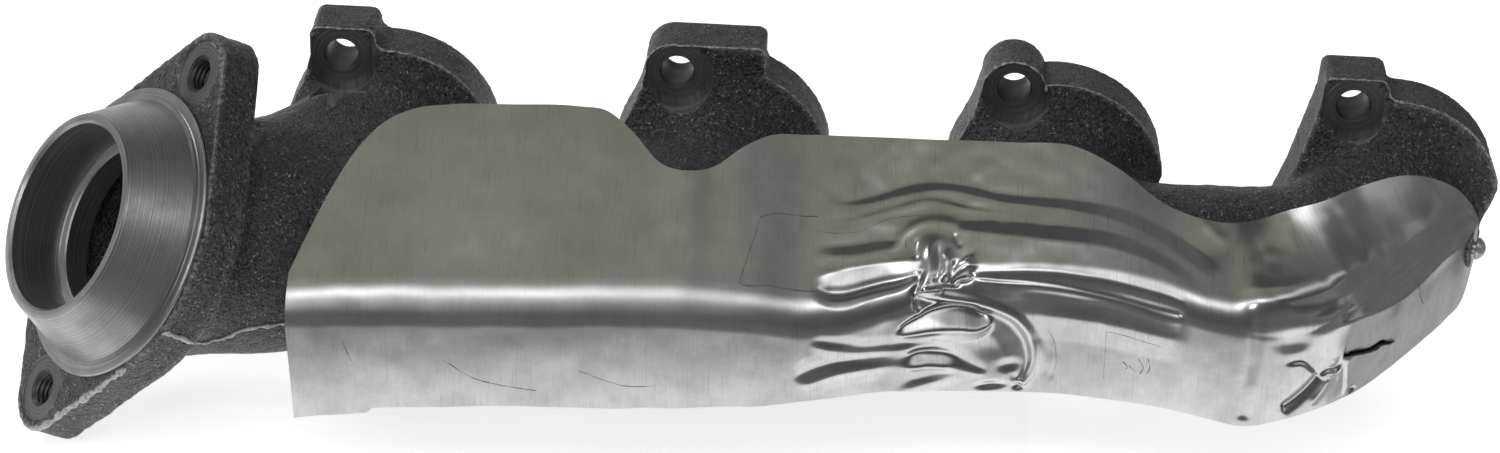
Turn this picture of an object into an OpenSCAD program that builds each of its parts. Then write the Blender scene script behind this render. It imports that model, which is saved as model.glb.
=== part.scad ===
// Four-port log exhaust manifold with a pressed heat shield.
// Millimetres. X runs along the log, Y points into the cylinder head, Z is up.
// The origin is on the head face, midway along the upper row of flange bolts.

/* [Ports] */
// Number of exhaust ports
port_count = 4; // [2:1:6]
// Distance between neighbouring ports
port_pitch = 100; // [90:1:120]
// Radius of the machined mouth of each port
port_r = 19; // [15:0.5:20]
// Depth of that machined mouth
port_depth = 12; // [8:1:14]
// Radius of the cast passage behind each mouth
passage_r = 16.5; // [12:0.5:17]
// Outer radius of the neck between flange and log
neck_r = 23; // [20:0.5:24]
// Port centre from its upper bolt, along X
port_dx = 13; // [11:0.5:15]
// Port centre below its upper bolt
port_drop = 31; // [30:0.5:34]

/* [Head flanges] */
// Thickness of each head flange
flange_t = 16.5; // [12:0.5:18]
// Radius of the round part of the flange
disc_r = 33; // [31:0.5:35]
// Height of a lug above its bolt
lug_top = 8.7; // [8:0.1:12]
// Half width of a plain lug
lug_half = 9.5; // [9:0.1:12]
// Radius of a head bolt hole
bolt_r = 5; // [4.5:0.05:6]
// Radius of the machined seat round a bolt hole
spot_r = 11; // [9:0.5:12]
// How far the seat cutter clears the casting in front of a flange
spot_reach = 14; // [8:1:16]

/* [Outlet] */
// Compass angle of the outlet, from -X towards -Y
outlet_turn = 34; // [30:1:38]
// Upward angle of the outlet
outlet_rise = 30.5; // [28:0.5:33]
// Radius of the rim at the tip of the seat cone
rim_r = 30; // [28.5:0.5:31]
// Bore inside the rim
outlet_r = 27.5; // [26:0.5:28]
// Depth of that bore
outlet_depth = 17; // [12:1:18]
// Length of the seat cone
cone_len = 16.4; // [14:0.2:18]
// Radius of the seat cone at its base
cone_base_r = 39; // [36:0.5:41]
// Radius of the machined ring round the cone
ring_r = 43; // [42:0.5:44]
// Ear face behind the tip of the cone
ear_drop = 18.6; // [17:0.2:20]
// Ear thickness
ear_t = 13; // [11:0.5:15]
// Distance between the two studs
stud_pitch = 104; // [100:0.5:108]
// Radius of a tapped stud hole
tap_r = 4.25; // [3:0.05:5]
// Radius of an ear's round end
ear_r = 12.5; // [11:0.5:14]
// Radius of the round middle of the outlet flange
hub_r = 44; // [42:0.5:46]

/* [Log] */
// Wall of the casting
wall = 5; // [4:0.5:6]

/* [Heat shield] */
// Sheet thickness
sheet_t = 1; // [0.8:0.1:1.2]

/* [Rivets] */
// Radius of a rivet's domed head
head_r = 3.5; // [3:0.1:4]
// Height of the head
head_h = 2.6; // [2:0.1:3]
// Radius of the shank
shank_r = 2; // [1.5:0.1:2.4]
// Length of the shank below the head
shank_len = 8; // [6:0.5:9]

/* [Hidden] */
$fn = 96;
eps = 0.2;              // overlap that keeps joined solids from only touching
hole_gap = 0.1;         // radial gap between a rivet and its hole in the sheet
knuckle = 0.7;          // how much a ball at a bend stands proud of the pipes it joins
ball_turn = 77;         // turn of a ball about the log, to keep its seam off the pipes' seams
seat_cut = 0.5;         // depth of a machined seat
neck_inset = 5;         // how far a neck starts inside its flange
mouth_step = 0.1;       // each port's mouth is this much shallower than the one before
hub_cone = [35, 41, 7]; // back of the outlet flange: radii and length
seat_step = [1.2, 1];   // low step under the seat cone: how much wider, how high
ledge = [3, 13.6];      // narrower bore behind the outlet bore: how much narrower, how long
ear_tap = 10;           // radius of a machined seat round a stud hole
ear_relief = [9, 12];   // relief behind a stud hole: radius and length
boss_len = 26;          // length of a rivet boss
throat_gap = 0.6;       // how much slimmer the last neck's passage is than the log's end

iron = [0.22, 0.22, 0.235];
sheet_metal = [0.72, 0.71, 0.69];
rivet_metal = [0.62, 0.62, 0.60];

half_row = (port_count - 1) / 2;
bolt_x = [for (i = [0 : port_count - 1]) (i - half_row) * port_pitch];
lower_dx = 2 * port_dx;
lower_drop = 2 * port_drop;

// Outlet: tip of the cone and the direction in which it points
outlet_tip = [-220, -84, -22];
outlet_dir = [
    -cos(outlet_turn) * cos(outlet_rise),
    -sin(outlet_turn) * cos(outlet_rise),
    sin(outlet_rise)
];
stub_start = outlet_tip - (ear_drop + 2) * outlet_dir;

// Centre line of the log: [point, outer radius], from the outlet to the last port
last_port_x = bolt_x[port_count - 1] + port_dx;
log_path = [
    [stub_start, 31.5],
    [[-192, -66, -39.5], 31.5],
    [[-172, -60.5, -40.5], 31],
    [[-105, -58, -41.3], 27.5],
    [[last_port_x - 27, -46, -41], 25],
    [[last_port_x - 11, -33, -37.5], 20.5]
];
log_end = log_path[len(log_path) - 1];

// Sections of the shield, left to right. Each row holds the point where the front
// panel meets the bend, the point on the back edge of the top panel, the height of
// the bottom edge, and the bend radius.
shield_rows = [
    [[-155, -106, -42.5], [-155, -97, -29.5], -70.5, 13],
    [[-147, -105.5, -42.5], [-147, -79, -15.5], -69.5, 14],
    [[-140, -105, -42], [-140, -66, -6.5], -69, 14],
    [[-133, -104.5, -42], [-133, -58, -1], -68.5, 14],
    [[-125, -104, -41.5], [-125, -54, 2], -68, 14],
    [[-113, -103.5, -41.5], [-113, -52, 3.5], -67.5, 14],
    [[-95, -102.5, -41], [-95, -51, 4], -66.5, 14],
    [[-76, -101.5, -40.5], [-76, -50, 4], -66.5, 14],
    [[-68, -101, -40], [-68, -51, 3.5], -66.5, 14],
    [[-60, -100.5, -40], [-60, -56, -0.5], -66.5, 14],
    [[-52, -100, -40], [-52, -63, -6], -66, 14],
    [[-43, -99.5, -40], [-43, -64.5, -7.5], -66, 14],
    [[-36, -99, -40.5], [-36, -62, -7], -65.5, 14],
    [[-29, -98.5, -41], [-29, -57, -3.5], -65, 14],
    [[-22, -98, -41.5], [-22, -52.5, -1.5], -65, 14],
    [[-10, -97, -43], [-10, -50, -1.5], -63.5, 14],
    [[2, -95.5, -42.5], [2, -49.5, -1.5], -62, 14],
    [[16, -91.5, -39], [16, -49, -1.5], -61.5, 12],
    [[30, -88, -35], [30, -49.5, -1], -62.5, 12],
    [[50, -85.5, -32.5], [50, -50, -0.5], -63, 12],
    [[68, -85, -32.5], [68, -50, -1], -63, 12],
    [[80, -85, -33.5], [80, -54, -5], -64, 12],
    [[94, -86, -36], [94, -60, -12.5], -65, 12],
    [[107, -88, -38.5], [107, -63, -15.5], -66.5, 12],
    [[119, -88.5, -40], [117, -62.5, -16], -68.5, 12],
    [[130, -86.5, -42], [123, -61.5, -14.5], -67, 12],
    [[141, -82, -41.5], [128, -61, -12.5], -65, 12],
    [[152, -74, -39.5], [138, -59, -10], -63.5, 14],
    [[163, -61.5, -39], [150, -50, -9], -62, 15],
    [[174, -47, -38], [163, -41, -9.5], -60.5, 14],
    [[182, -34.5, -37.5], [173, -34, -13.5], -60, 13],
    [[188, -25, -37], [182, -28, -20], -57, 11],
    [[191, -18.5, -37], [187, -22.5, -27], -47, 7]
];
bend_steps = 5;

// Rivets: [point under the head, direction in which the head points]
end_rivet_at = [190.6, -22.6, -42];
end_rivet_turn = -20;                   // turn of its axis from +X about Z
tab_rivet_at = [-143, -89, -68.8];
boss_r = 6;
tab_x = [-152, -134];
tab_y = [-104.6, -81];

// n+1 points along an arc, from angle a to angle b
function arc(cx, cy, r, a, b, n) =
    [for (i = [0 : n]) let (t = a + (b - a) * i / n) [cx + r * cos(t), cy + r * sin(t)]];

// The same point seen from the other end of the flange, half a turn about the port
function turned(p) = [2 * port_dx - p[0], -2 * port_drop - p[1]];

// Half of a flange outline: the round side, then the upper lug from right to left.
// The lug runs from x = -left to x = right, with corners of the given radii.
function half_outline(left, right, corner_l, corner_r) =
    let (meet = acos((right - port_dx) / disc_r))
    concat(
        [[port_dx + disc_r - 4, -port_drop - 5]],
        arc(port_dx, -port_drop, disc_r, 9, meet - 1, 14),
        arc(right - corner_r, lug_top - corner_r, corner_r, 0, 90, 5),
        arc(corner_l - left, lug_top - corner_l, corner_l, 90, 174, 6),
        [[-lug_half, -1]]
    );

// Each port's upper lug has its own shape: [left, right, left corner, right corner]
upper_lugs = [
    [9.5, 10, 3, 3],
    [9.5, 26, 8, 2.5],
    [9.5, 9.5, 9.4, 9.4],
    [9, 10, 2.5, 3]
];
plain_lug = [9.5, 9.5, 9.4, 9.4];

function flange_outline(lug) = concat(
    half_outline(lug[0], lug[1], lug[2], lug[3]),
    [for (p = half_outline(plain_lug[0], plain_lug[1], plain_lug[2], plain_lug[3])) turned(p)]
);

// Turns its children so that their +Z points along v
module aimed(v) {
    rotate([0, acos(v[2] / norm(v)), atan2(v[1], v[0])])
        children();
}

// A straight round bar or cone from one point to another
module pipe(from, to, r_from, r_to) {
    translate(from)
        aimed(to - from)
            cylinder(h = norm(to - from), r1 = r_from, r2 = r_to);
}

// Direction of the log's centre line at one of its points
function log_way(i) =
    log_path[min(i + 1, len(log_path) - 1)][0] - log_path[max(i - 1, 0)][0];

// Pipes along the log's centre line, thinner by skin, with a ball at each bend
module log_pipes(skin) {
    for (i = [0 : len(log_path) - 2])
        pipe(log_path[i][0], log_path[i + 1][0], log_path[i][1] - skin, log_path[i + 1][1] - skin);
    for (i = [1 : len(log_path) - 1])
        translate(log_path[i][0])
            aimed(log_way(i))
                rotate(ball_turn)
                    sphere(r = log_path[i][1] - skin + knuckle);
}

// The point of the log's centre line that a port's neck runs to
function neck_foot(x) =
    let (a = log_path[3][0], b = log_path[4][0], k = (x - a[0]) / (b[0] - a[0]))
    x < last_port_x ? a + k * (b - a) : log_end[0];

// The necks. The last one is no wider than the end of the log, which bends into it.
module necks(r, r_last, start) {
    for (x = bolt_x + [for (i = bolt_x) port_dx])
        pipe([x, -start, -port_drop], neck_foot(x), r, x < last_port_x ? r : r_last);
}

// Places its children at the tip of the outlet cone, with +Z pointing out of it
module at_outlet() {
    translate(outlet_tip)
        rotate([0, 90 - outlet_rise, 180 + outlet_turn])
            children();
}

// Flat diamond with round ends: the outline of the outlet flange
module diamond(height) {
    far = stud_pitch / 2;
    lean = asin((hub_r - ear_r) / far);
    c = cos(lean);
    s = sin(lean);
    linear_extrude(height)
        polygon([
            [hub_r * s, hub_r * c], [far + ear_r * s, ear_r * c],
            [far + ear_r * s, -ear_r * c], [hub_r * s, -hub_r * c],
            [-hub_r * s, -hub_r * c], [-far - ear_r * s, -ear_r * c],
            [-far - ear_r * s, ear_r * c], [-hub_r * s, hub_r * c]
        ]);
    cylinder(h = height, r = hub_r);
    for (side = [-1, 1])
        translate([side * far, 0, 0])
            cylinder(h = height, r = ear_r);
}

module head_flanges() {
    for (i = [0 : port_count - 1])
        translate([bolt_x[i], 0, 0])
            rotate([90, 0, 0])
                linear_extrude(flange_t)
                    polygon(flange_outline(upper_lugs[i % len(upper_lugs)]));
}

module outlet_solid() {
    at_outlet() {
        translate([0, 0, -ear_drop - ear_t])
            diamond(ear_t);
        translate([0, 0, -ear_drop - eps])
            cylinder(h = ear_drop + eps - cone_len - seat_step[1], r = ring_r);
        translate([0, 0, -cone_len - seat_step[1] - eps])
            cylinder(h = seat_step[1] + eps, r = cone_base_r + seat_step[0]);
        translate([0, 0, -cone_len])
            cylinder(h = cone_len, r1 = cone_base_r, r2 = rim_r);
        translate([0, 0, -ear_drop - ear_t - hub_cone[2]])
            cylinder(h = hub_cone[2] + eps, r1 = hub_cone[0], r2 = hub_cone[1]);
    }
}

// Bosses that the rivets are driven into
module rivet_bosses() {
    translate(end_rivet_at)
        rotate([0, 90, end_rivet_turn])
            translate([0, 0, -boss_len])
                cylinder(h = boss_len - sheet_t - eps, r = boss_r);
    translate([tab_rivet_at[0], tab_rivet_at[1], tab_rivet_at[2] + sheet_t + eps])
        cylinder(h = boss_len, r = boss_r);
}

// Passages inside the casting
module hollows() {
    log_pipes(wall);
    necks(passage_r, log_end[1] - wall - throat_gap, port_depth - 1);
    for (i = [0 : port_count - 1])
        translate([bolt_x[i] + port_dx, 1, -port_drop])
            rotate([90, 0, 0])
                cylinder(h = port_depth - i * mouth_step + 1, r = port_r);
    at_outlet() {
        translate([0, 0, -outlet_depth])
            cylinder(h = outlet_depth + 1, r = outlet_r);
        translate([0, 0, -outlet_depth - ledge[1]])
            cylinder(h = ledge[1] + 1, r = outlet_r - ledge[0]);
    }
}

// Bolt and stud holes, with their machined seats
module drillings() {
    for (x = bolt_x, row = [0, 1])
        translate([x + row * lower_dx, 0, -row * lower_drop])
            rotate([90, 0, 0]) {
                translate([0, 0, -1])
                    cylinder(h = flange_t + 2, r = bolt_r);
                translate([0, 0, flange_t - seat_cut])
                    cylinder(h = spot_reach, r = spot_r);
            }
    at_outlet()
        for (side = [-1, 1])
            translate([side * stud_pitch / 2, 0, 0]) {
                translate([0, 0, -ear_drop - ear_t - 1])
                    cylinder(h = ear_t + 2, r = tap_r);
                translate([0, 0, -ear_drop - seat_cut])
                    cylinder(h = ear_relief[1], r = ear_tap);
                translate([0, 0, -ear_drop - ear_t - ear_relief[1]])
                    cylinder(h = ear_relief[1], r = ear_relief[0]);
            }
}

// Holes for the rivets' shanks
module shank_holes() {
    translate(end_rivet_at)
        rotate([0, 90, end_rivet_turn])
            translate([0, 0, -shank_len])
                cylinder(h = shank_len + 1, r = shank_r + hole_gap);
    translate([tab_rivet_at[0], tab_rivet_at[1], tab_rivet_at[2] - 1])
        cylinder(h = shank_len + 1, r = shank_r + hole_gap);
}

// One-piece iron casting: head flanges, necks, log and outlet
module manifold_casting() {
    color(iron)
        difference() {
            union() {
                head_flanges();
                necks(neck_r, log_end[1], flange_t - neck_inset);
                log_pipes(0);
                outlet_solid();
                rivet_bosses();
            }
            hollows();
            drillings();
            shank_holes();
        }
}

// Profile of the sheet at one section: bottom edge, up the front, round the bend
// by equal angles, then straight to the back edge
function profile(row) =
    let (
        foot = row[0],
        edge = row[1],
        r = row[3],
        flat = [edge[0] - foot[0], edge[1] - foot[1]],
        run = norm(flat),
        inward = flat / run,
        rise = edge[2] - foot[2],
        reach = norm([run - r, rise]),
        straight = sqrt(max(0.01, reach * reach - r * r)),
        slope = atan2(rise, run - r) - atan2(r, straight),
        turn = 90 - slope
    )
    concat(
        [[foot[0], foot[1], row[2]]],
        [for (k = [0 : bend_steps])
            let (t = turn * k / bend_steps, d = r * (1 - cos(t)))
            [foot[0] + inward[0] * d, foot[1] + inward[1] * d, foot[2] + r * sin(t)]],
        [edge]
    );

outer_grid = [for (row = shield_rows) profile(row)];
rows = len(outer_grid);
cols = len(outer_grid[0]);

// Outward unit normal of the sheet at grid point (i, j)
function grid_normal(i, j) =
    let (
        a = outer_grid[min(i + 1, rows - 1)][j] - outer_grid[max(i - 1, 0)][j],
        b = outer_grid[i][min(j + 1, cols - 1)] - outer_grid[i][max(j - 1, 0)],
        n = cross(a, b)
    )
    n / norm(n);

inner_grid = [for (i = [0 : rows - 1])
    [for (j = [0 : cols - 1]) outer_grid[i][j] - sheet_t * grid_normal(i, j)]];

// The bent sheet as one closed skin
module bent_sheet() {
    points = concat([for (r = outer_grid) each r], [for (r = inner_grid) each r]);
    back = rows * cols;
    faces = concat(
        [for (i = [0 : rows - 2], j = [0 : cols - 2])
            let (a = i * cols + j)
            each [[a, a + 1, a + cols + 1], [a, a + cols + 1, a + cols]]],
        [for (i = [0 : rows - 2], j = [0 : cols - 2])
            let (a = back + i * cols + j)
            each [[a, a + cols + 1, a + 1], [a, a + cols, a + cols + 1]]],
        [for (i = [0 : rows - 2])
            let (a = i * cols, b = a + cols)
            each [[a, b, back + b], [a, back + b, back + a]]],
        [for (i = [0 : rows - 2])
            let (a = i * cols + cols - 1, b = a + cols)
            each [[a, back + b, b], [a, back + a, back + b]]],
        [for (j = [0 : cols - 2])
            each [[j, back + j + 1, j + 1], [j, back + j, back + j + 1]]],
        [for (j = [0 : cols - 2])
            let (a = (rows - 1) * cols + j)
            each [[a, a + 1, back + a + 1], [a, back + a + 1, back + a]]]
    );
    polyhedron(points, faces);
}

// Pressed heat shield, with a tab turned in under the log
module heat_shield() {
    color(sheet_metal)
        difference() {
            union() {
                bent_sheet();
                translate([tab_x[0], tab_y[0], tab_rivet_at[2]])
                    cube([tab_x[1] - tab_x[0], tab_y[1] - tab_y[0], sheet_t]);
            }
            shank_holes();
        }
}

// Domed rivet along +Z, with its head's flat side at the origin
module rivet() {
    dome_r = (head_r * head_r + head_h * head_h) / (2 * head_h);
    intersection() {
        translate([0, 0, head_h - dome_r])
            sphere(r = dome_r);
        cylinder(h = head_h + 1, r = head_r);
    }
    translate([0, 0, -shank_len + eps])
        cylinder(h = shank_len, r = shank_r);
}

module end_rivet() {
    color(rivet_metal)
        translate(end_rivet_at)
            rotate([0, 90, end_rivet_turn])
                rivet();
}

module tab_rivet() {
    color(rivet_metal)
        translate(tab_rivet_at)
            rotate([180, 0, 0])
                rivet();
}

manifold_casting();
heat_shield();
end_rivet();
tab_rivet();
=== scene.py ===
"""Looks for a four-port log exhaust manifold with a riveted pressed-steel heat shield."""
import math

import bpy
import numpy as np
from mathutils import Matrix, Vector


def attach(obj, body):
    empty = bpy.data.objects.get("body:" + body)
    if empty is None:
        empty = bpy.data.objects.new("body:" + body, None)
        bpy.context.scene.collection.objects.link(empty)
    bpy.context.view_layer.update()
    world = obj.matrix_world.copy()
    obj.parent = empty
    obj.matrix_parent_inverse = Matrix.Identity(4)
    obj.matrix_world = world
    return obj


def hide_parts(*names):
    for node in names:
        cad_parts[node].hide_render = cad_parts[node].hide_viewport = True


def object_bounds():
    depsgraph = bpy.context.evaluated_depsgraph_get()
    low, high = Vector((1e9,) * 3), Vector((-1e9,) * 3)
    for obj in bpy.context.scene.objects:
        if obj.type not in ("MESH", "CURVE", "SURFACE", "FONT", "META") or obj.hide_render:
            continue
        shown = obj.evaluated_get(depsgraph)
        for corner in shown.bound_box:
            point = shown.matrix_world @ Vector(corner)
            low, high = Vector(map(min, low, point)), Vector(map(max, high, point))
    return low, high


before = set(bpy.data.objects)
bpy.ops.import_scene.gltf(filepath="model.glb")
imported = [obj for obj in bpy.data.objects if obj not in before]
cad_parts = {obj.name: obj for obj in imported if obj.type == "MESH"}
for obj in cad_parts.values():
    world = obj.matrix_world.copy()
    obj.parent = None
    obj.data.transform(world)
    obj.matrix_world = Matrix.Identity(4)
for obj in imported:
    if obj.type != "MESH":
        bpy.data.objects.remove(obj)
cad_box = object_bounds()

MM = 0.001
rng = np.random.default_rng(11)

# ---------------------------------------------------------------- sizes (mm)
BOLT_X = [-150.0, -50.0, 50.0, 150.0]
PORT_DX, PORT_DROP = 13.0, 31.0
PORT_R, PORT_DEPTH, PASSAGE_R, NECK_R = 19.0, 12.0, 16.5, 23.0
FLANGE_T, DISC_R, LUG_TOP, LUG_HALF = 16.5, 33.0, 8.7, 9.5
BOLT_R, SPOT_R = 5.0, 11.0
LUGS = [(9.5, 10, 3, 3), (9.5, 26, 8, 2.5), (9.5, 9.5, 9.4, 9.4), (9, 10, 2.5, 3)]
PLAIN_LUG = (9.5, 9.5, 9.4, 9.4)
TURN, RISE = math.radians(34), math.radians(30.5)
TIP = np.array([-220.0, -84.0, -22.0])
OUT = np.array([-math.cos(TURN) * math.cos(RISE), -math.sin(TURN) * math.cos(RISE), math.sin(RISE)])
EAR = np.array([math.sin(RISE) * math.cos(math.pi + TURN), math.sin(RISE) * math.sin(math.pi + TURN),
                -math.cos(RISE)])          # towards the lower ear
SIDE = np.cross(OUT, EAR)
RIM_R, OUTLET_R, CONE_LEN, CONE_R, RING_R = 30.0, 27.5, 16.4, 39.0, 43.0
EAR_DROP, EAR_T, STUD_HALF, TAP_R, EAR_R, HUB_R = 18.6, 13.0, 52.0, 4.25, 12.5, 44.0
WALL = 5.0
LOG = [(TIP - (EAR_DROP + 2) * OUT, 31.5), (np.array([-192, -66, -39.5]), 31.5),
       (np.array([-172, -60.5, -40.5]), 31.0), (np.array([-105, -58, -41.3]), 27.5),
       (np.array([136, -46, -41.0]), 25.0), (np.array([152, -33, -37.5]), 20.5)]
SHEET_T = 1.0
END_RIVET, END_RIVET_TURN = np.array([190.6, -22.6, -42.0]), math.radians(-20)
TAB_RIVET = np.array([-143.0, -89.0, -68.8])
HEAD_R, HEAD_H, SHANK_R, SHANK_LEN = 3.5, 2.6, 2.0, 8.0
TAB_X, TAB_Y = (-152.0, -134.0), (-104.6, -81.0)
# shield sections: foot (x, y, z), back edge (x, y, z), bottom z, bend radius
ROWS = np.array([
    (-155, -106, -42.5, -155, -97, -29.5, -70.5, 13), (-147, -105.5, -42.5, -147, -79, -15.5, -69.5, 14),
    (-140, -105, -42, -140, -66, -6.5, -69, 14), (-133, -104.5, -42, -133, -58, -1, -68.5, 14),
    (-125, -104, -41.5, -125, -54, 2, -68, 14), (-113, -103.5, -41.5, -113, -52, 3.5, -67.5, 14),
    (-95, -102.5, -41, -95, -51, 4, -66.5, 14), (-76, -101.5, -40.5, -76, -50, 4, -66.5, 14),
    (-68, -101, -40, -68, -51, 3.5, -66.5, 14), (-60, -100.5, -40, -60, -56, -0.5, -66.5, 14),
    (-52, -100, -40, -52, -63, -6, -66, 14), (-43, -99.5, -40, -43, -64.5, -7.5, -66, 14),
    (-36, -99, -40.5, -36, -62, -7, -65.5, 14), (-29, -98.5, -41, -29, -57, -3.5, -65, 14),
    (-22, -98, -41.5, -22, -52.5, -1.5, -65, 14), (-10, -97, -43, -10, -50, -1.5, -63.5, 14),
    (2, -95.5, -42.5, 2, -49.5, -1.5, -62, 14), (16, -91.5, -39, 16, -49, -1.5, -61.5, 12),
    (30, -88, -35, 30, -49.5, -1, -62.5, 12), (50, -85.5, -32.5, 50, -50, -0.5, -63, 12),
    (68, -85, -32.5, 68, -50, -1, -63, 12), (80, -85, -33.5, 80, -54, -5, -64, 12),
    (94, -86, -36, 94, -60, -12.5, -65, 12), (107, -88, -38.5, 107, -63, -15.5, -66.5, 12),
    (119, -88.5, -40, 117, -62.5, -16, -68.5, 12), (130, -86.5, -42, 123, -61.5, -14.5, -67, 12),
    (141, -82, -41.5, 128, -61, -12.5, -65, 12), (152, -74, -39.5, 138, -59, -10, -63.5, 14),
    (163, -61.5, -39, 150, -50, -9, -62, 15), (174, -47, -38, 163, -41, -9.5, -60.5, 14),
    (182, -34.5, -37.5, 173, -34, -13.5, -60, 13), (188, -25, -37, 182, -28, -20, -57, 11),
    (191, -18.5, -37, 187, -22.5, -27, -47, 7)], float)


# ---------------------------------------------------------------- noise
_lattice = rng.random((48, 48, 48)).astype(np.float32)


def noise(p, scale, seed=0.0):
    """Smooth value noise, -1..1, over points p (N, 3) with cells of the given size."""
    q = p / scale + seed * 17.31
    i = np.floor(q).astype(np.int64)
    f = q - i
    f = f * f * (3 - 2 * f)
    out = 0.0
    for dx in (0, 1):
        for dy in (0, 1):
            for dz in (0, 1):
                w = (f[:, 0] if dx else 1 - f[:, 0]) * (f[:, 1] if dy else 1 - f[:, 1]) \
                    * (f[:, 2] if dz else 1 - f[:, 2])
                out = out + w * _lattice[(i[:, 0] + dx) % 48, (i[:, 1] + dy) % 48, (i[:, 2] + dz) % 48]
    return out * 2 - 1


# ---------------------------------------------------------------- distance fields (mm)
def smin(a, b, k):
    h = np.maximum(k - np.abs(a - b), 0) / k
    return np.minimum(a, b) - h * h * k * 0.25


def smax(a, b, k):
    return -smin(-a, -b, k)


def rod(p, a, b, ra, rb):
    """A round bar or cone with round ends, from a to b."""
    ab = b - a
    t = np.clip((p - a) @ ab / (ab @ ab), 0, 1)
    return np.linalg.norm(p - a - t[:, None] * ab, axis=1) - (ra + (rb - ra) * t)


def cyl(p, a, axis, r, lo, hi):
    """A flat-ended cylinder about the line through a, from lo to hi along it."""
    q = p - a
    t = q @ axis
    d = np.sqrt(np.maximum((q * q).sum(1) - t * t, 0)) - r
    return np.maximum(d, np.maximum(lo - t, t - hi))


def arc(cx, cy, r, a, b, n):
    t = np.radians(np.linspace(a, b, n + 1))
    return [(cx + r * math.cos(v), cy + r * math.sin(v)) for v in t]


def half_outline(lug):
    left, right, cl, cr = lug
    # a hollow corner of radius f joins the round part to a square lug's side
    f = 3.6 if cr < 5 else 0.0
    hx = right + f - PORT_DX
    hz = math.sqrt((DISC_R + f) ** 2 - hx * hx)
    meet = math.degrees(math.acos(hx / (DISC_R + f)))
    return ([(PORT_DX + DISC_R - 4, -PORT_DROP - 5)] + arc(PORT_DX, -PORT_DROP, DISC_R, 9, meet, 14)
            + arc(right + f, hz - PORT_DROP, f, 180 + meet, 180, 6)
            + arc(right - cr, LUG_TOP - cr, cr, 0, 90, 5) + arc(cl - left, LUG_TOP - cl, cl, 90, 174, 6)
            + [(-LUG_HALF, -1)])


def polygon_field(points, x, z):
    """Signed distance to a polygon over the grid x by z."""
    px, pz = np.meshgrid(x, z, indexing="ij")
    best = np.full(px.shape, 1e9)
    inside = np.zeros(px.shape, bool)
    for (ax, az), (bx, bz) in zip(points, points[1:] + points[:1]):
        ex, ez = bx - ax, bz - az
        t = np.clip(((px - ax) * ex + (pz - az) * ez) / (ex * ex + ez * ez + 1e-12), 0, 1)
        best = np.minimum(best, np.hypot(px - ax - t * ex, pz - az - t * ez))
        if abs(ez) > 1e-9:
            hit = ((az > pz) != (bz > pz)) & (px < ex * (pz - az) / ez + ax)
            inside ^= hit
    return np.where(inside, -best, best)


GX, GZ = np.arange(-60, 90, 0.5), np.arange(-120, 50, 0.5)
OUTLINES = []
for lug in LUGS:
    lower = [(2 * PORT_DX - x, -2 * PORT_DROP - z) for x, z in half_outline(PLAIN_LUG)]
    OUTLINES.append(polygon_field(half_outline(lug) + lower, GX, GZ))


def flange(p, i):
    """One head flange, with its front edge rounded."""
    fx = np.clip((p[:, 0] - BOLT_X[i] - GX[0]) / 0.5, 0, len(GX) - 2.001)
    fz = np.clip((p[:, 2] - GZ[0]) / 0.5, 0, len(GZ) - 2.001)
    ix, iz = fx.astype(int), fz.astype(int)
    u, v = fx - ix, fz - iz
    g = OUTLINES[i]
    d = (g[ix, iz] * (1 - u) + g[ix + 1, iz] * u) * (1 - v) + (g[ix, iz + 1] * (1 - u) + g[ix + 1, iz + 1] * u) * v
    r = 1.1
    a, b = d + r, -FLANGE_T - p[:, 1] + r
    d = np.sqrt(np.maximum(a, 0) ** 2 + np.maximum(b, 0) ** 2) + np.minimum(np.maximum(a, b), 0) - r
    return np.maximum(d, p[:, 1])


def uneven(x, y, r1, r2, h):
    """Two circles and their common tangents, from r1 at 0 to r2 at h along y."""
    b = (r1 - r2) / h
    a = math.sqrt(1 - b * b)
    k = -b * x + a * y
    return np.where(k < 0, np.hypot(x, y) - r1, np.where(k > a * h, np.hypot(x, y - h) - r2, x * a + y * b - r1))


def neck_foot(x):
    a, b = LOG[3][0], LOG[4][0]
    return a + (x - a[0]) / (b[0] - a[0]) * (b - a) if x < BOLT_X[-1] else LOG[5][0]


def log_field(p, skin, k):
    d = None
    for (a, ra), (b, rb) in zip(LOG[:-1], LOG[1:]):
        e = rod(p, a, b, ra - skin, rb - skin)
        d = e if d is None else smin(d, e, k)
    return d


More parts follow.
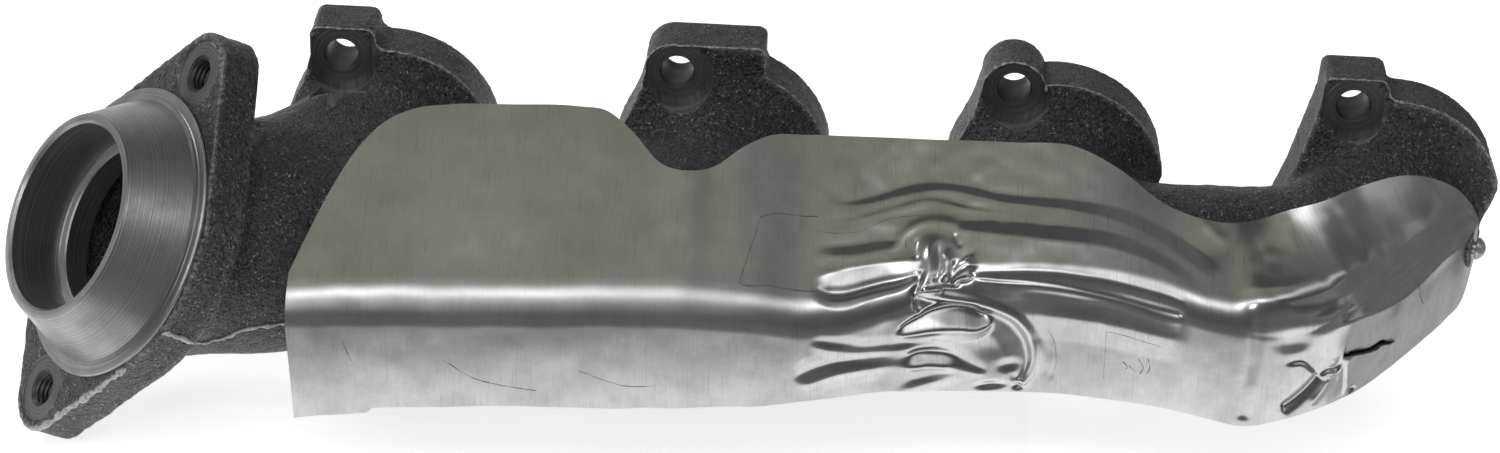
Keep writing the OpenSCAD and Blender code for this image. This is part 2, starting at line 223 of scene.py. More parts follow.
def casting(p):
    """The whole casting, before its separate machined faces are laid in."""
    log = log_field(p, 0, 5)
    # outlet flange, in its own frame
    q = p - TIP
    lx, ly, lz = q @ EAR, q @ SIDE, q @ OUT
    dia = uneven(np.abs(ly), np.abs(lx), HUB_R, EAR_R, STUD_HALF)
    r = 1.3
    a, b = dia + r, np.abs(lz + EAR_DROP + EAR_T / 2) - EAR_T / 2 + r
    ear = np.sqrt(np.maximum(a, 0) ** 2 + np.maximum(b, 0) ** 2) + np.minimum(np.maximum(a, b), 0) - r
    rr = np.hypot(lx, ly)
    back = np.maximum(rr - (41 + (lz + EAR_DROP + EAR_T) * 6 / 7), np.maximum(-38.6 - lz, lz + 30))
    d = smin(log, smin(ear, back, 3), 7)
    # head flanges and necks
    for i, bx in enumerate(BOLT_X):
        x = bx + PORT_DX
        last = i == len(BOLT_X) - 1
        d = smin(d, rod(p, np.array([x, -12.0, -PORT_DROP]), neck_foot(x), NECK_R, LOG[5][1] if last else NECK_R), 13)
    d = smin(d, rod(p, np.array([-166.0, -58, -37]), np.array([-140.0, -22, -24]), 29.0, 20.0), 12)
    for i, bx in enumerate(BOLT_X):
        d = smin(d, flange(p, i), 6)
        if i < len(BOLT_X) - 1:
            deep = np.clip(-FLANGE_T - p[:, 1], 0, 30)
            flare = np.hypot(p[:, 0] - bx - PORT_DX, p[:, 2] + PORT_DROP + 1 + 0.21 * deep) - NECK_R + 1 - 9.8 * np.exp(-deep / 5)
            d = smin(d, np.maximum(flare * 0.75, -FLANGE_T - 22 - p[:, 1]), 2)
    # rivet bosses
    axis = np.array([math.cos(END_RIVET_TURN), math.sin(END_RIVET_TURN), 0])
    d = smin(d, cyl(p, END_RIVET, axis, 6, -26, -SHEET_T - 0.2), 3)
    d = smin(d, cyl(p, TAB_RIVET, np.array([0, 0, 1.0]), 6, SHEET_T + 0.2, 26), 3)
    d = np.maximum(d, p[:, 1])
    # passages
    inner = log_field(p, WALL, 5)
    for i, bx in enumerate(BOLT_X):
        x = bx + PORT_DX
        r_end = LOG[5][1] - WALL if i == len(BOLT_X) - 1 else PASSAGE_R
        inner = smin(inner, rod(p, np.array([x, -PORT_DEPTH + 1, -PORT_DROP]), neck_foot(x), PASSAGE_R, r_end), 6)
        inner = np.minimum(inner, cyl(p, np.array([x, 0, -PORT_DROP]), np.array([0, 1.0, 0]), PORT_R, -PORT_DEPTH, 9))
    inner = np.minimum(inner, cyl(p, TIP, OUT, OUTLET_R + 1.2, -OUTLET_CUT, 30))
    d = smax(d, -inner, 0.8)
    # bolt holes with their seats
    ay = np.array([0, 1.0, 0])
    for bx in BOLT_X:
        for row in (0, 1):
            c = np.array([bx + row * 2 * PORT_DX, 0, -row * 2 * PORT_DROP])
            d = np.maximum(d, -cyl(p, c, ay, BOLT_R + 0.3, -60, 20))
            d = np.maximum(d, -cyl(p, c, ay, SPOT_R, -FLANGE_T - 14, -FLANGE_T + 0.7))
    for s in (-1, 1):
        c = TIP + s * STUD_HALF * EAR
        d = np.maximum(d, -cyl(p, c, OUT, TAP_R + 1.0, -EAR_DROP - EAR_T - 12, 5))
        d = np.maximum(d, -cyl(p, c, OUT, 10, -EAR_DROP - 0.7, 8))
        d = np.maximum(d, -cyl(p, c, OUT, 9, -EAR_DROP - EAR_T - 12, -EAR_DROP - EAR_T))
    axis = np.array([math.cos(END_RIVET_TURN), math.sin(END_RIVET_TURN), 0])
    d = np.maximum(d, -cyl(p, END_RIVET, axis, SHANK_R + 0.1, -SHANK_LEN, 4))
    d = np.maximum(d, -cyl(p, TAB_RIVET, np.array([0, 0, 1.0]), SHANK_R + 0.1, -1, SHANK_LEN))
    return d


OUTLET_CUT = 25.5


# ---------------------------------------------------------------- meshing
def dual_mesh(field, lo, hi, h, block=700000):
    """Dual contouring: quads round a field's zero surface, with a vertex on each sharp edge and corner."""
    lo = np.array(lo, float)
    n = np.ceil((np.array(hi) - lo) / h).astype(int) + 1
    xs, ys, zs = [lo[i] + h * np.arange(n[i]) for i in range(3)]

    def values(p):
        return np.concatenate([field(p[i:i + block]) for i in range(0, len(p), block)]) if len(p) else np.zeros(0)

    # coarse pass first: only blocks of cells near the surface are worked out in full
    c = 6
    cn = (n + c - 1) // c
    cc = np.stack(np.meshgrid(*[lo[i] + h * c * (np.arange(cn[i]) + 0.5) for i in range(3)], indexing="ij"), -1)
    near = np.abs(values(cc.reshape(-1, 3)).reshape(cn)) < h * c * 1.25
    mask = np.repeat(np.repeat(np.repeat(near, c, 0), c, 1), c, 2)[:n[0], :n[1], :n[2]]
    grown = mask.copy()
    for ax in range(3):
        for s in (-1, 1):
            grown |= np.roll(mask, s, ax)
    mask = grown
    grid = np.full(n, np.nan)
    ijk = np.argwhere(mask)
    grid[mask] = values(lo + h * ijk)
    pts, cell, quads = [], [], []
    for ax in range(3):
        a = [slice(None)] * 3
        b = [slice(None)] * 3
        a[ax], b[ax] = slice(0, -1), slice(1, None)
        ga, gb = grid[tuple(a)], grid[tuple(b)]
        cross = np.argwhere(np.isfinite(ga) & np.isfinite(gb) & ((ga < 0) != (gb < 0)))
        o1, o2 = [(1, 2), (2, 0), (0, 1)][ax]
        ok = (cross[:, o1] > 0) & (cross[:, o2] > 0) & (cross[:, o1] < n[o1] - 1) & (cross[:, o2] < n[o2] - 1)
        cross = cross[ok]
        va = grid[tuple(cross.T)]
        step = np.zeros(3, int)
        step[ax] = 1
        vb = grid[tuple((cross + step).T)]
        e = np.zeros(3)
        e[ax] = h
        p0 = lo + h * cross
        ta, tb = np.zeros(len(cross)), np.ones(len(cross))
        fa, fb = va.copy(), vb.copy()
        for _ in range(2):                       # regula falsi
            t = ta + (tb - ta) * np.clip(fa / (fa - fb), 0.05, 0.95)
            ft = values(p0 + t[:, None] * e)
            same = (ft < 0) == (fa < 0)
            ta, fa = np.where(same, t, ta), np.where(same, ft, fa)
            tb, fb = np.where(same, tb, t), np.where(same, fb, ft)
        t = ta + (tb - ta) * np.clip(fa / (fa - fb), 0, 1)
        p = p0 + t[:, None] * e
        pts.append(p)
        step1, step2 = np.zeros(3, int), np.zeros(3, int)
        step1[o1], step2[o2] = 1, 1
        ring = np.stack([cross - step1 - step2, cross - step2, cross, cross - step1], 1)
        ids = (ring[..., 0] * n[1] + ring[..., 1]) * n[2] + ring[..., 2]
        cell.append(ids)
        quads.append(np.where((va < 0)[:, None], ids, ids[:, ::-1]))
    p = np.concatenate(pts)
    ids = np.concatenate(cell)
    quads = np.concatenate(quads)
    g = np.zeros_like(p)
    d = 0.04
    for s in ((1, -1, -1), (-1, -1, 1), (-1, 1, -1), (1, 1, 1)):
        s = np.array(s, float)
        g += s * values(p + d * s)[:, None]
    g /= np.maximum(np.linalg.norm(g, axis=1), 1e-9)[:, None]
    uniq, inv = np.unique(ids.ravel(), return_inverse=True)
    inv = inv.reshape(ids.shape)
    m = len(uniq)
    count = np.zeros(m)
    mass = np.zeros((m, 3))
    ata = np.zeros((m, 3, 3))
    atb = np.zeros((m, 3))
    off = (g * p).sum(1)
    for k in range(4):
        c_ = inv[:, k]
        count += np.bincount(c_, minlength=m)
        for i in range(3):
            mass[:, i] += np.bincount(c_, p[:, i], m)
            atb[:, i] += np.bincount(c_, g[:, i] * off, m)
            for j in range(3):
                ata[:, i, j] += np.bincount(c_, g[:, i] * g[:, j], m)
    mass /= count[:, None]
    lam = 0.04 * count
    a = ata + lam[:, None, None] * np.eye(3)
    rhs = atb - np.einsum("nij,nj->ni", ata, mass)
    v = mass + np.linalg.solve(a, rhs[..., None])[..., 0]
    cz = uniq % n[2]
    cy = uniq // n[2] % n[1]
    cx = uniq // (n[1] * n[2])
    c0 = lo + h * np.stack([cx, cy, cz], 1)
    v = np.clip(v, c0 - 0.1 * h, c0 + 1.1 * h)
    q = np.searchsorted(uniq, quads)
    return v, q


def sharp_border(obj):
    """Keeps the rim of an open sheet crisp once it has its thickness."""
    mesh = obj.data
    used = np.zeros(len(mesh.loops), np.int32)
    mesh.loops.foreach_get("edge_index", used)
    count = np.bincount(used, minlength=len(mesh.edges))
    mesh.edges.foreach_set("use_edge_sharp", count == 1)


def make_mesh(name, v, faces, smooth=True):
    mesh = bpy.data.meshes.new(name)
    faces = np.asarray(faces)
    nf, k = faces.shape
    mesh.vertices.add(len(v))
    mesh.vertices.foreach_set("co", (np.asarray(v, float) * MM).astype(np.float32).ravel())
    mesh.loops.add(nf * k)
    mesh.loops.foreach_set("vertex_index", faces.astype(np.int32).ravel())
    mesh.polygons.add(nf)
    mesh.polygons.foreach_set("loop_start", (np.arange(nf) * k).astype(np.int32))
    mesh.polygons.foreach_set("loop_total", np.full(nf, k, np.int32))
    mesh.update(calc_edges=True)
    mesh.validate()
    if smooth:
        mesh.polygons.foreach_set("use_smooth", np.ones(len(mesh.polygons), bool))
    obj = bpy.data.objects.new(name, mesh)
    bpy.context.scene.collection.objects.link(obj)
    return obj


def vertex_normals(v, q):
    n = np.cross(v[q[:, 2]] - v[q[:, 0]], v[q[:, 3]] - v[q[:, 1]])
    out = np.zeros_like(v)
    for k in range(4):
        for i in range(3):
            out[:, i] += np.bincount(q[:, k], n[:, i], len(v))
    return out / np.maximum(np.linalg.norm(out, axis=1), 1e-12)[:, None]


def attribute(obj, name, values):
    a = obj.data.attributes.new(name, "FLOAT", "POINT")
    a.data.foreach_set("value", np.asarray(values, np.float32))


def sharpen(obj, degrees):
    obj.data.set_sharp_from_angle(angle=math.radians(degrees))


# ---------------------------------------------------------------- node helpers
def material(name):
    m = bpy.data.materials.new(name)
    m.use_nodes = True
    nt = m.node_tree
    nt.nodes.clear()
    out = nt.nodes.new("ShaderNodeOutputMaterial")
    b = nt.nodes.new("ShaderNodeBsdfPrincipled")
    nt.links.new(b.outputs[0], out.inputs[0])
    return m, nt, b


def node(nt, kind, inputs=None, **props):
    n = nt.nodes.new(kind)
    for k, v in props.items():
        setattr(n, k, v)
    for k, v in (inputs or {}).items():
        if isinstance(v, bpy.types.NodeSocket):
            nt.links.new(v, n.inputs[k])
        else:
            n.inputs[k].default_value = v
    return n


def math_node(nt, op, a, b=0.0, c=0.0, clamp=False):
    n = nt.nodes.new("ShaderNodeMath")
    n.operation = op
    n.use_clamp = clamp
    for i, v in enumerate((a, b, c)):
        if isinstance(v, bpy.types.NodeSocket):
            nt.links.new(v, n.inputs[i])
        else:
            n.inputs[i].default_value = v
    return n.outputs[0]


def ramp(nt, fac, stops):
    n = nt.nodes.new("ShaderNodeValToRGB")
    nt.links.new(fac, n.inputs[0])
    el = n.color_ramp.elements
    while len(el) < len(stops):
        el.new(0.5)
    for e, (pos, col) in zip(el, stops):
        e.position = pos
        e.color = (*col, 1) if isinstance(col, tuple) else (col, col, col, 1)
    return n.outputs[0]


def noise_node(nt, vec, scale, detail=3.0, rough=0.55, **kw):
    return node(nt, "ShaderNodeTexNoise", {"Vector": vec, "Scale": scale, "Detail": detail, "Roughness": rough}, **kw)


def mix_col(nt, fac, a, b, mode="MIX"):
    n = nt.nodes.new("ShaderNodeMix")
    n.data_type = "RGBA"
    n.blend_type = mode
    for k, v in (("Factor", fac), ("A", a), ("B", b)):
        sock = [s for s in n.inputs if s.name == k and s.enabled][0]
        if isinstance(v, bpy.types.NodeSocket):
            nt.links.new(v, sock)
        else:
            sock.default_value = v if k == "Factor" else (*v, 1)
    return [s for s in n.outputs if s.enabled][0]


def stretched(nt, vec, scale):
    return node(nt, "ShaderNodeMapping", {"Vector": vec, "Scale": scale}).outputs[0]


def bumped(nt, b, height, strength, distance, under=None):
    n = node(nt, "ShaderNodeBump", {"Height": height, "Strength": strength, "Distance": distance})
    if under is not None:
        nt.links.new(under, n.inputs["Normal"])
    nt.links.new(n.outputs[0], b.inputs["Normal"])
    return n.outputs[0]


# ---------------------------------------------------------------- materials
def sand_cast():
    m, nt, b = material("sand_cast_iron")
    pos = node(nt, "ShaderNodeTexCoord").outputs["Object"]
    broad = noise_node(nt, pos, 26, 5, 0.6).outputs[0]
    fine = noise_node(nt, pos, 520, 3, 0.65).outputs[0]
    grain = noise_node(nt, pos, 1150, 2, 0.7).outputs[0]
    # bright specks in the base colour: painted glints, standing in for sparkle off the grain's facets
    cells = node(nt, "ShaderNodeTexVoronoi", {"Vector": pos, "Scale": 2100.0, "Randomness": 1.0}).outputs
    pick = node(nt, "ShaderNodeSeparateColor", {0: cells["Color"]}).outputs[0]
    col = ramp(nt, broad, [(0.3, (0.050, 0.050, 0.055)), (0.7, (0.108, 0.108, 0.115))])
    col = mix_col(nt, ramp(nt, grain, [(0.38, 0.85), (0.54, 0.0)]), col, (0.022, 0.022, 0.025))
    col = mix_col(nt, math_node(nt, "MULTIPLY", ramp(nt, pick, [(0.55, 0.0), (0.85, 0.5)]), ramp(nt, fine, [(0.4, 0.1), (0.6, 1.0)])),
                  col, (0.17, 0.17, 0.175))
    painted_glint = math_node(nt, "MULTIPLY", ramp(nt, pick, [(0.92, 0.0), (0.97, 1.0)]),
                     ramp(nt, fine, [(0.44, 0.0), (0.6, 1.0)]))
    col = mix_col(nt, painted_glint, col, (0.36, 0.36, 0.365))
    # lighter convex edges: partly wear, partly a painted edge highlight
    edge = node(nt, "ShaderNodeAttribute", attribute_name="edge").outputs["Fac"]
    wear_and_painted_highlight = math_node(nt, "MULTIPLY", edge, ramp(nt, fine, [(0.34, 0.3), (0.55, 1.0)]), clamp=True)
    col = mix_col(nt, wear_and_painted_highlight, col, (0.33, 0.325, 0.32))
    flash = node(nt, "ShaderNodeAttribute", attribute_name="flash").outputs["Fac"]
    col = mix_col(nt, flash, col, (0.5, 0.47, 0.43))
    nt.links.new(col, b.inputs["Base Color"])
    b.inputs["Metallic"].default_value = 0.45
    nt.links.new(ramp(nt, fine, [(0.3, 0.34), (0.7, 0.58)]), b.inputs["Roughness"])
    n1 = bumped(nt, b, fine, 1.0, 0.0022)
    bumped(nt, b, grain, 1.0, 0.0014, n1)
    return m


def plain(name, colour, rough):
    m, nt, b = material(name)
    b.inputs["Base Color"].default_value = (*colour, 1)
    b.inputs["Roughness"].default_value = rough
    b.inputs["Metallic"].default_value = 0.6
    return m


def flash_and_edge_highlight(name, dark, light):
    """The thin, lighter metal on edges and parting lines: flash on the parting line and outlet edge, a painted edge
    highlight on the flange edges.
    """
    m, nt, b = material(name)
    pos = node(nt, "ShaderNodeTexCoord").outputs["Object"]
    spots = noise_node(nt, pos, 900, 3, 0.7).outputs[0]
    nt.links.new(ramp(nt, spots, [(0.36, dark), (0.56, light)]), b.inputs["Base Color"])
    b.inputs["Metallic"].default_value = 0.4
    b.inputs["Roughness"].default_value = 0.5
    return m


def machined(name, base, rough, rings=900.0, centre=None, axis=None, dark=0.6):
    """Turned metal: fine rings about a centre line."""
    m, nt, b = material(name)
    pos = node(nt, "ShaderNodeTexCoord").outputs["Object"]
    rad = node(nt, "ShaderNodeAttribute", attribute_name="ring").outputs["Fac"]
    wob = noise_node(nt, pos, 60, 2).outputs[0]
    r = math_node(nt, "MULTIPLY_ADD", wob, 0.0006, rad)
    line = node(nt, "ShaderNodeTexNoise", {"W": math_node(nt, "MULTIPLY", r, rings), "Scale": 1.0, "Detail": 3.0},
                noise_dimensions="1D").outputs[0]
    blot = noise_node(nt, pos, 90, 4).outputs[0]
    col = ramp(nt, line, [(0.3, tuple(c * dark for c in base)), (0.7, base)])
    stain = ramp(nt, blot, [(0.45, 0.0), (0.75, 0.6)])
    col = mix_col(nt, stain, col, tuple(c * 0.45 for c in base))
    nt.links.new(col, b.inputs["Base Color"])
    b.inputs["Metallic"].default_value = 0.9
    nt.links.new(ramp(nt, blot, [(0.3, rough * 0.8), (0.7, rough * 1.25)]), b.inputs["Roughness"])
    bumped(nt, b, line, 0.35, 0.00012)
    return m


def sheet_steel(name="pressed_sheet"):
    m, nt, b = material(name)
    uv = node(nt, "ShaderNodeUVMap", uv_map="sheet").outputs[0]
    pos = node(nt, "ShaderNodeTexCoord").outputs["Object"]
    brush = noise_node(nt, stretched(nt, uv, (2400, 60, 1)), 1.0, 4, 0.65).outputs[0]
    fine = noise_node(nt, stretched(nt, uv, (6000, 200, 1)), 1.0, 3, 0.6).outputs[0]
    rub = noise_node(nt, stretched(nt, uv, (1500, 95, 1)), 1.0, 2, 0.5).outputs[0]
    wide = noise_node(nt, pos, 26, 3, 0.5).outputs[0]
    blot = noise_node(nt, pos, 75, 6, 0.68).outputs[0]
    col = ramp(nt, blot, [(0.32, (0.455, 0.45, 0.44)), (0.68, (0.53, 0.526, 0.515))])
    # the front panel is blotchy, the top is evenly brushed
    height = node(nt, "ShaderNodeSeparateXYZ", {0: uv}).outputs[1]
    front = ramp(nt, math_node(nt, "MULTIPLY_ADD", height, 40.0, 0.5), [(0.35, 1.0), (0.5, 0.0)])
    dirt = math_node(nt, "MULTIPLY", ramp(nt, blot, [(0.38, 0.45), (0.58, 0.0)]), front)
    col = mix_col(nt, dirt, col, (0.36, 0.35, 0.365))
    col = mix_col(nt, ramp(nt, brush, [(0.4, 0.0), (0.75, 0.22)]), col, (0.36, 0.35, 0.33))
    col = mix_col(nt, ramp(nt, rub, [(0.58, 0.0), (0.72, 0.26)]), col, (0.24, 0.23, 0.21))
    nt.links.new(col, b.inputs["Base Color"])
    b.inputs["Metallic"].default_value = 1.0
    satin = math_node(nt, "MULTIPLY", ramp(nt, math_node(nt, "MULTIPLY", height, 50.0), [(0.08, 0.0), (0.30, 1.0), (0.60, 1.0), (0.78, 0.0)]),
                      ramp(nt, math_node(nt, "MULTIPLY", node(nt, "ShaderNodeSeparateXYZ", {0: uv}).outputs[0], 4.0),
                           [(0.50, 1.0), (0.60, 0.0), (0.98, 0.0)]))
    gloss = ramp(nt, wide, [(0.3, 0.19), (0.7, 0.25)])
    nt.links.new(math_node(nt, "MULTIPLY_ADD", satin, 0.14, gloss), b.inputs["Roughness"])
    n1 = bumped(nt, b, brush, 0.12, 0.00012)
    bumped(nt, b, fine, 0.12, 0.00006, n1)
    return m


# ---------------------------------------------------------------- casting
def build_casting(mats):
    lo, hi = (-243, -115.5, -96), (198, 2.2, 27)
    v, q = dual_mesh(casting, lo, hi, 1.3)
    n = vertex_normals(v, q)
    # which corners and edges stand out; this mask lightens them in the iron's colour, partly wear and partly a painted
    # edge highlight
    e = np.vstack([q[:, [0, 1]], q[:, [1, 2]], q[:, [2, 3]], q[:, [3, 0]]])
    s = np.zeros_like(v)
    cnt = np.bincount(e[:, 0], minlength=len(v)) + np.bincount(e[:, 1], minlength=len(v))
    for i in range(3):
        s[:, i] = np.bincount(e[:, 0], v[e[:, 1], i], len(v)) + np.bincount(e[:, 1], v[e[:, 0], i], len(v))
    lap = ((s / np.maximum(cnt, 1)[:, None] - v) * n).sum(1)
    edge = np.clip((-lap - 0.10) / 0.28, 0, 1)
    q0 = v - TIP
    machined_at = (v[:, 1] > -0.06)
    recess = np.zeros(len(v), bool)
    for bx in BOLT_X:
        for row in (0, 1):
            c = np.array([bx + row * 2 * PORT_DX, 0, -row * 2 * PORT_DROP])
            r = np.hypot(v[:, 0] - c[0], v[:, 2] - c[2])
            machined_at |= (r < SPOT_R + 0.15) & (np.abs(v[:, 1] + FLANGE_T + 5.4) < 6.6) | (r < BOLT_R + 0.8)
            # faces on the spot-face recess wall get a lighter material: painted light, standing in for light bounced
            # into the recess
            recess |= (np.abs(r - SPOT_R) < 0.4) & (v[:, 1] < -FLANGE_T + 0.5) & (v[:, 1] > -FLANGE_T - 4.5)
    for sgn in (-1, 1):
        c = q0 - sgn * STUD_HALF * EAR
        t = c @ OUT
        r = np.linalg.norm(c - t[:, None] * OUT, axis=1)
        machined_at |= (r < 10.15) & (np.abs(t) < 36)
    rough = np.where(machined_at, 0, 1)
    bump = 0.16 * noise(v, 3.1, 1) + 0.2 * noise(v, 7.5, 2) + 0.1 * noise(v, 1.9, 3)
    v = v + n * (bump * rough)[:, None]
    v[:, 1] = np.minimum(v[:, 1], 0)
    obj = make_mesh("casting_body", v, q)
    attribute(obj, "edge", edge * rough)
    flash = np.zeros(len(v))
    attribute(obj, "flash", flash)
    attribute(obj, "ring", np.linalg.norm(v, axis=1) * MM)
    obj.data.materials.append(mats["iron"])
    obj.data.materials.append(mats["seat"])
    fi = machined_at[q].all(1).astype(np.int32)
    obj.data.materials.append(mats["wall"])
    fi[recess[q].all(1)] = 2
    if len(obj.data.polygons) == len(fi):
        obj.data.polygons.foreach_set("material_index", fi)
    sharpen(obj, 42)
    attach(obj, "root")
    return obj


def lathe(name, profile, origin, axis, mats, index, seg=256, bevel=None):
    """Turns a profile of (radius, height) points about an axis; index gives each band's material."""
    axis = np.array(axis, float)
    ref = np.array([0, 0, 1.0]) if abs(axis[2]) < 0.9 else np.array([1.0, 0, 0])
    x = np.cross(ref, axis)
    x /= np.linalg.norm(x)
    y = np.cross(axis, x)
    a = np.linspace(0, 2 * math.pi, seg, endpoint=False)
    prof = np.array(profile, float)
    v = (np.array(origin)[None, None] + prof[:, None, 1:2] * axis
         + prof[:, None, 0:1] * (np.cos(a)[None, :, None] * x + np.sin(a)[None, :, None] * y))
    k = len(prof)
    i, j = np.meshgrid(np.arange(k - 1), np.arange(seg), indexing="ij")
    jn = (j + 1) % seg
    q = np.stack([i * seg + j, i * seg + jn, (i + 1) * seg + jn, (i + 1) * seg + j], -1).reshape(-1, 4)
    obj = make_mesh(name, v.reshape(-1, 3), q)
    ring = np.repeat(prof[:, 0] - prof[:, 1] * 0.7, seg) * MM
    attribute(obj, "ring", ring)
    attribute(obj, "edge", np.zeros(k * seg))
    attribute(obj, "flash", np.zeros(k * seg))
    for m in mats:
        obj.data.materials.append(m)
    obj.data.polygons.foreach_set("material_index", np.repeat(index, seg).astype(np.int32))
    sharpen(obj, 30)
    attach(obj, "root")
    return obj


def build_outlet(mats):
    base = -EAR_DROP
    p = [(40.5, base - 2.0), (RING_R - 0.5, base - 2.0), (RING_R - 0.5, base), (RING_R, base + 0.15),
         (RING_R, -CONE_LEN - 1.5), (RING_R - 0.5, -CONE_LEN - 1.0), (CONE_R + 1.5, -CONE_LEN - 1.0),
         (CONE_R + 1.2, -CONE_LEN - 0.8), (CONE_R + 1.2, -CONE_LEN), (CONE_R, -CONE_LEN)]
    steps = 26
    for i in range(1, steps):
        t = i / steps
        p.append((CONE_R + (RIM_R + 0.5 - CONE_R) * t, -CONE_LEN + (CONE_LEN - 0.7) * t))
    p += [(RIM_R + 0.5, -0.7), (RIM_R + 0.2, -0.2), (RIM_R - 0.4, 0), (OUTLET_R + 0.7, 0), (OUTLET_R, -0.7),
          (OUTLET_R, -6), (OUTLET_R, -12), (OUTLET_R, -16.6), (OUTLET_R - 0.4, -17), (24.9, -17), (24.5, -17.4),
          (24.5, -24.6), (26.2, -25.6)]
    idx = []
    for (r0, h0), (r1, h1) in zip(p[:-1], p[1:]):
        if h1 <= -0.7 and h0 <= -0.7 and r1 <= OUTLET_R and r0 <= OUTLET_R and h0 - h1 > 0.1:
            idx.append(1)
        else:
            idx.append(2 if h0 < -16 and r1 < OUTLET_R and h1 > -18 else 0)
    obj = lathe("outlet_seat", p, TIP, OUT, [mats["turned"], mats["bore"], mats["ledge"]], np.array(idx), 320)
    return obj


def build_bead(name, points, radius, seed, mat, breaks=0.0):
    """A thin, ragged bead of metal along a line of points: flash on a casting's edges; on the flange edges its lighter
    material is a painted edge highlight.
    """
    pts = np.array(points, float)
    run = np.concatenate([[0], np.cumsum(np.linalg.norm(np.diff(pts, axis=0), axis=1))])
    x = np.arange(0, run[-1], 0.45)
    c = np.column_stack([np.interp(x, run, pts[:, i]) for i in range(3)])
    r = radius * (0.75 + 0.55 * noise(c, 1.1, seed) + 0.3 * noise(c, 4.5, seed + 1)) - breaks * np.maximum(noise(c, 7, seed + 2), 0)
    r = np.maximum(r, 0.02) * ease(x / 3) * ease((x[-1] - x) / 3) + 0.01
    c += 0.3 * radius * np.column_stack([noise(c, 1.7, seed + k) for k in (3, 4, 5)])
    way = np.gradient(c, axis=0)
    way /= np.linalg.norm(way, axis=1)[:, None]
    a = np.cross(way, (0.31, 0.2, 0.93))
    a /= np.linalg.norm(a, axis=1)[:, None]
    b = np.cross(way, a)
    n = 6
    ang = np.arange(n) * 2 * math.pi / n
    v = c[:, None] + r[:, None, None] * (np.cos(ang)[None, :, None] * a[:, None] + np.sin(ang)[None, :, None] * b[:, None])
    k = len(c)
    i, j = np.meshgrid(np.arange(k - 1), np.arange(n), indexing="ij")
    jn = (j + 1) % n
    q = np.stack([i * n + j, i * n + jn, (i + 1) * n + jn, (i + 1) * n + j], -1).reshape(-1, 4)
    obj = make_mesh(name, v.reshape(-1, 3), q)
    obj.data.materials.append(mat)
    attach(obj, "root")
    return obj


def build_beads(mats):
    # beads along each flange's front edge in a lighter material: a painted edge highlight
    for i, bx in enumerate(BOLT_X):
        edge = [(bx + x, -FLANGE_T + 0.15, z) for x, z in half_outline(LUGS[i])[1:-1]]
        build_bead("flange_edge_%d" % (i + 1), edge, 0.45, 20 + i, mats["flash"], 0.2)
    # lower front edge of the outlet flange
    lean = math.asin((HUB_R - EAR_R) / STUD_HALF)
    c, s = math.cos(lean), math.sin(lean)
    side = 1.0 if SIDE[0] > 0 else -1.0
    ends = [(HUB_R * s, HUB_R * c), (STUD_HALF + EAR_R * s, EAR_R * c)]
    edge = [TIP + (x + 0.1) * EAR + side * (y + 0.1) * SIDE - (EAR_DROP + 0.4) * OUT for x, y in ends]
    turn = np.linspace(math.pi / 2 - lean, -0.2, 8)
    edge += [TIP + (STUD_HALF + (EAR_R - 0.4) * math.cos(t)) * EAR + side * (EAR_R - 0.4) * math.sin(t) * SIDE
             - (EAR_DROP + 0.5) * OUT for t in turn]
    build_bead("outlet_edge", edge, 1.15, 31, mats["trim"], 0.0)
    # parting line under the elbow
    line = [(-190.4, -111.3, -42.9), (-186.7, -112.8, -42.2), (-183, -110.3, -44.7), (-180.2, -108.5, -47.2),
            (-179.8, -91, -57.6), (-176, -90.5, -56.4), (-172, -90.6, -54.7), (-169.5, -91.2, -52.6),
            (-161.5, -90.5, -51.2), (-154, -90, -50)]
    build_bead("parting_line", line, 0.85, 41, mats["trim"], 0.25)


def build_seats(mats):
    made = []
    for i, bx in enumerate(BOLT_X):
        for row in (0, 1):
            c = np.array([bx + row * 2 * PORT_DX, 0, -row * 2 * PORT_DROP])
            top = FLANGE_T - 0.5
            prof = [(8.62, top - 0.3), (8.42, top), (8.0, top), (7.0, top), (BOLT_R + 0.25, top),
                    (BOLT_R, top - 0.25), (BOLT_R, 7), (BOLT_R, 0.3), (BOLT_R, 0.0)]
            o = lathe("bolt_seat_%d_%d" % (i + 1, row + 1), prof, c, (0, -1, 0), [mats["seat"], mats["hole"]],
                      np.array([0, 0, 0, 0, 1, 1, 1, 1]), 96)
            made.append(o)
    return made


def build_tapped(mats):
    """Tapped stud holes: a seat, a countersink and a helical thread."""
    made = []
    for sgn in (-1, 1):
        c = TIP + sgn * STUD_HALF * EAR
        seg, pitch = 72, 1.5
        top, bottom = -EAR_DROP - 0.5, -EAR_DROP - EAR_T
        rows = [(10.02, top + 0.3), (9.8, top), (7.5, top), (5.6, top), (5.05, top - 0.55)]
        hs = np.arange(top - 0.7, bottom, -pitch / 8)
        a = np.linspace(0, 2 * math.pi, seg, endpoint=False)
        x, y = EAR, SIDE
        v, ring = [], []
        for r, h in rows:
            v.append(c + h * OUT + r * (np.cos(a)[:, None] * x + np.sin(a)[:, None] * y))
            ring.append(np.full(seg, r * MM))
        for h in hs:
            ph = (h / pitch - a / (2 * math.pi)) % 1.0
            r = TAP_R + 0.75 * np.abs(ph * 2 - 1)
            v.append(c + h * OUT + r[:, None] * (np.cos(a)[:, None] * x + np.sin(a)[:, None] * y))
            ring.append(np.full(seg, h * MM))
        k = len(v)
        v = np.array(v).reshape(-1, 3)
        i, j = np.meshgrid(np.arange(k - 1), np.arange(seg), indexing="ij")
        jn = (j + 1) % seg
        q = np.stack([i * seg + j, (i + 1) * seg + j, (i + 1) * seg + jn, i * seg + jn], -1).reshape(-1, 4)
        o = make_mesh("tapped_hole_%s" % ("lower" if sgn > 0 else "upper"), v, q)
        attribute(o, "ring", np.concatenate(ring))
        o.data.materials.append(mats["stud_seat"])
        o.data.materials.append(mats["hole"])
        o.data.polygons.foreach_set("material_index", np.repeat((np.arange(k - 1) >= 3).astype(np.int32), seg))
        sharpen(o, 40)
        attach(o, "root")
        made.append(o)
    return made


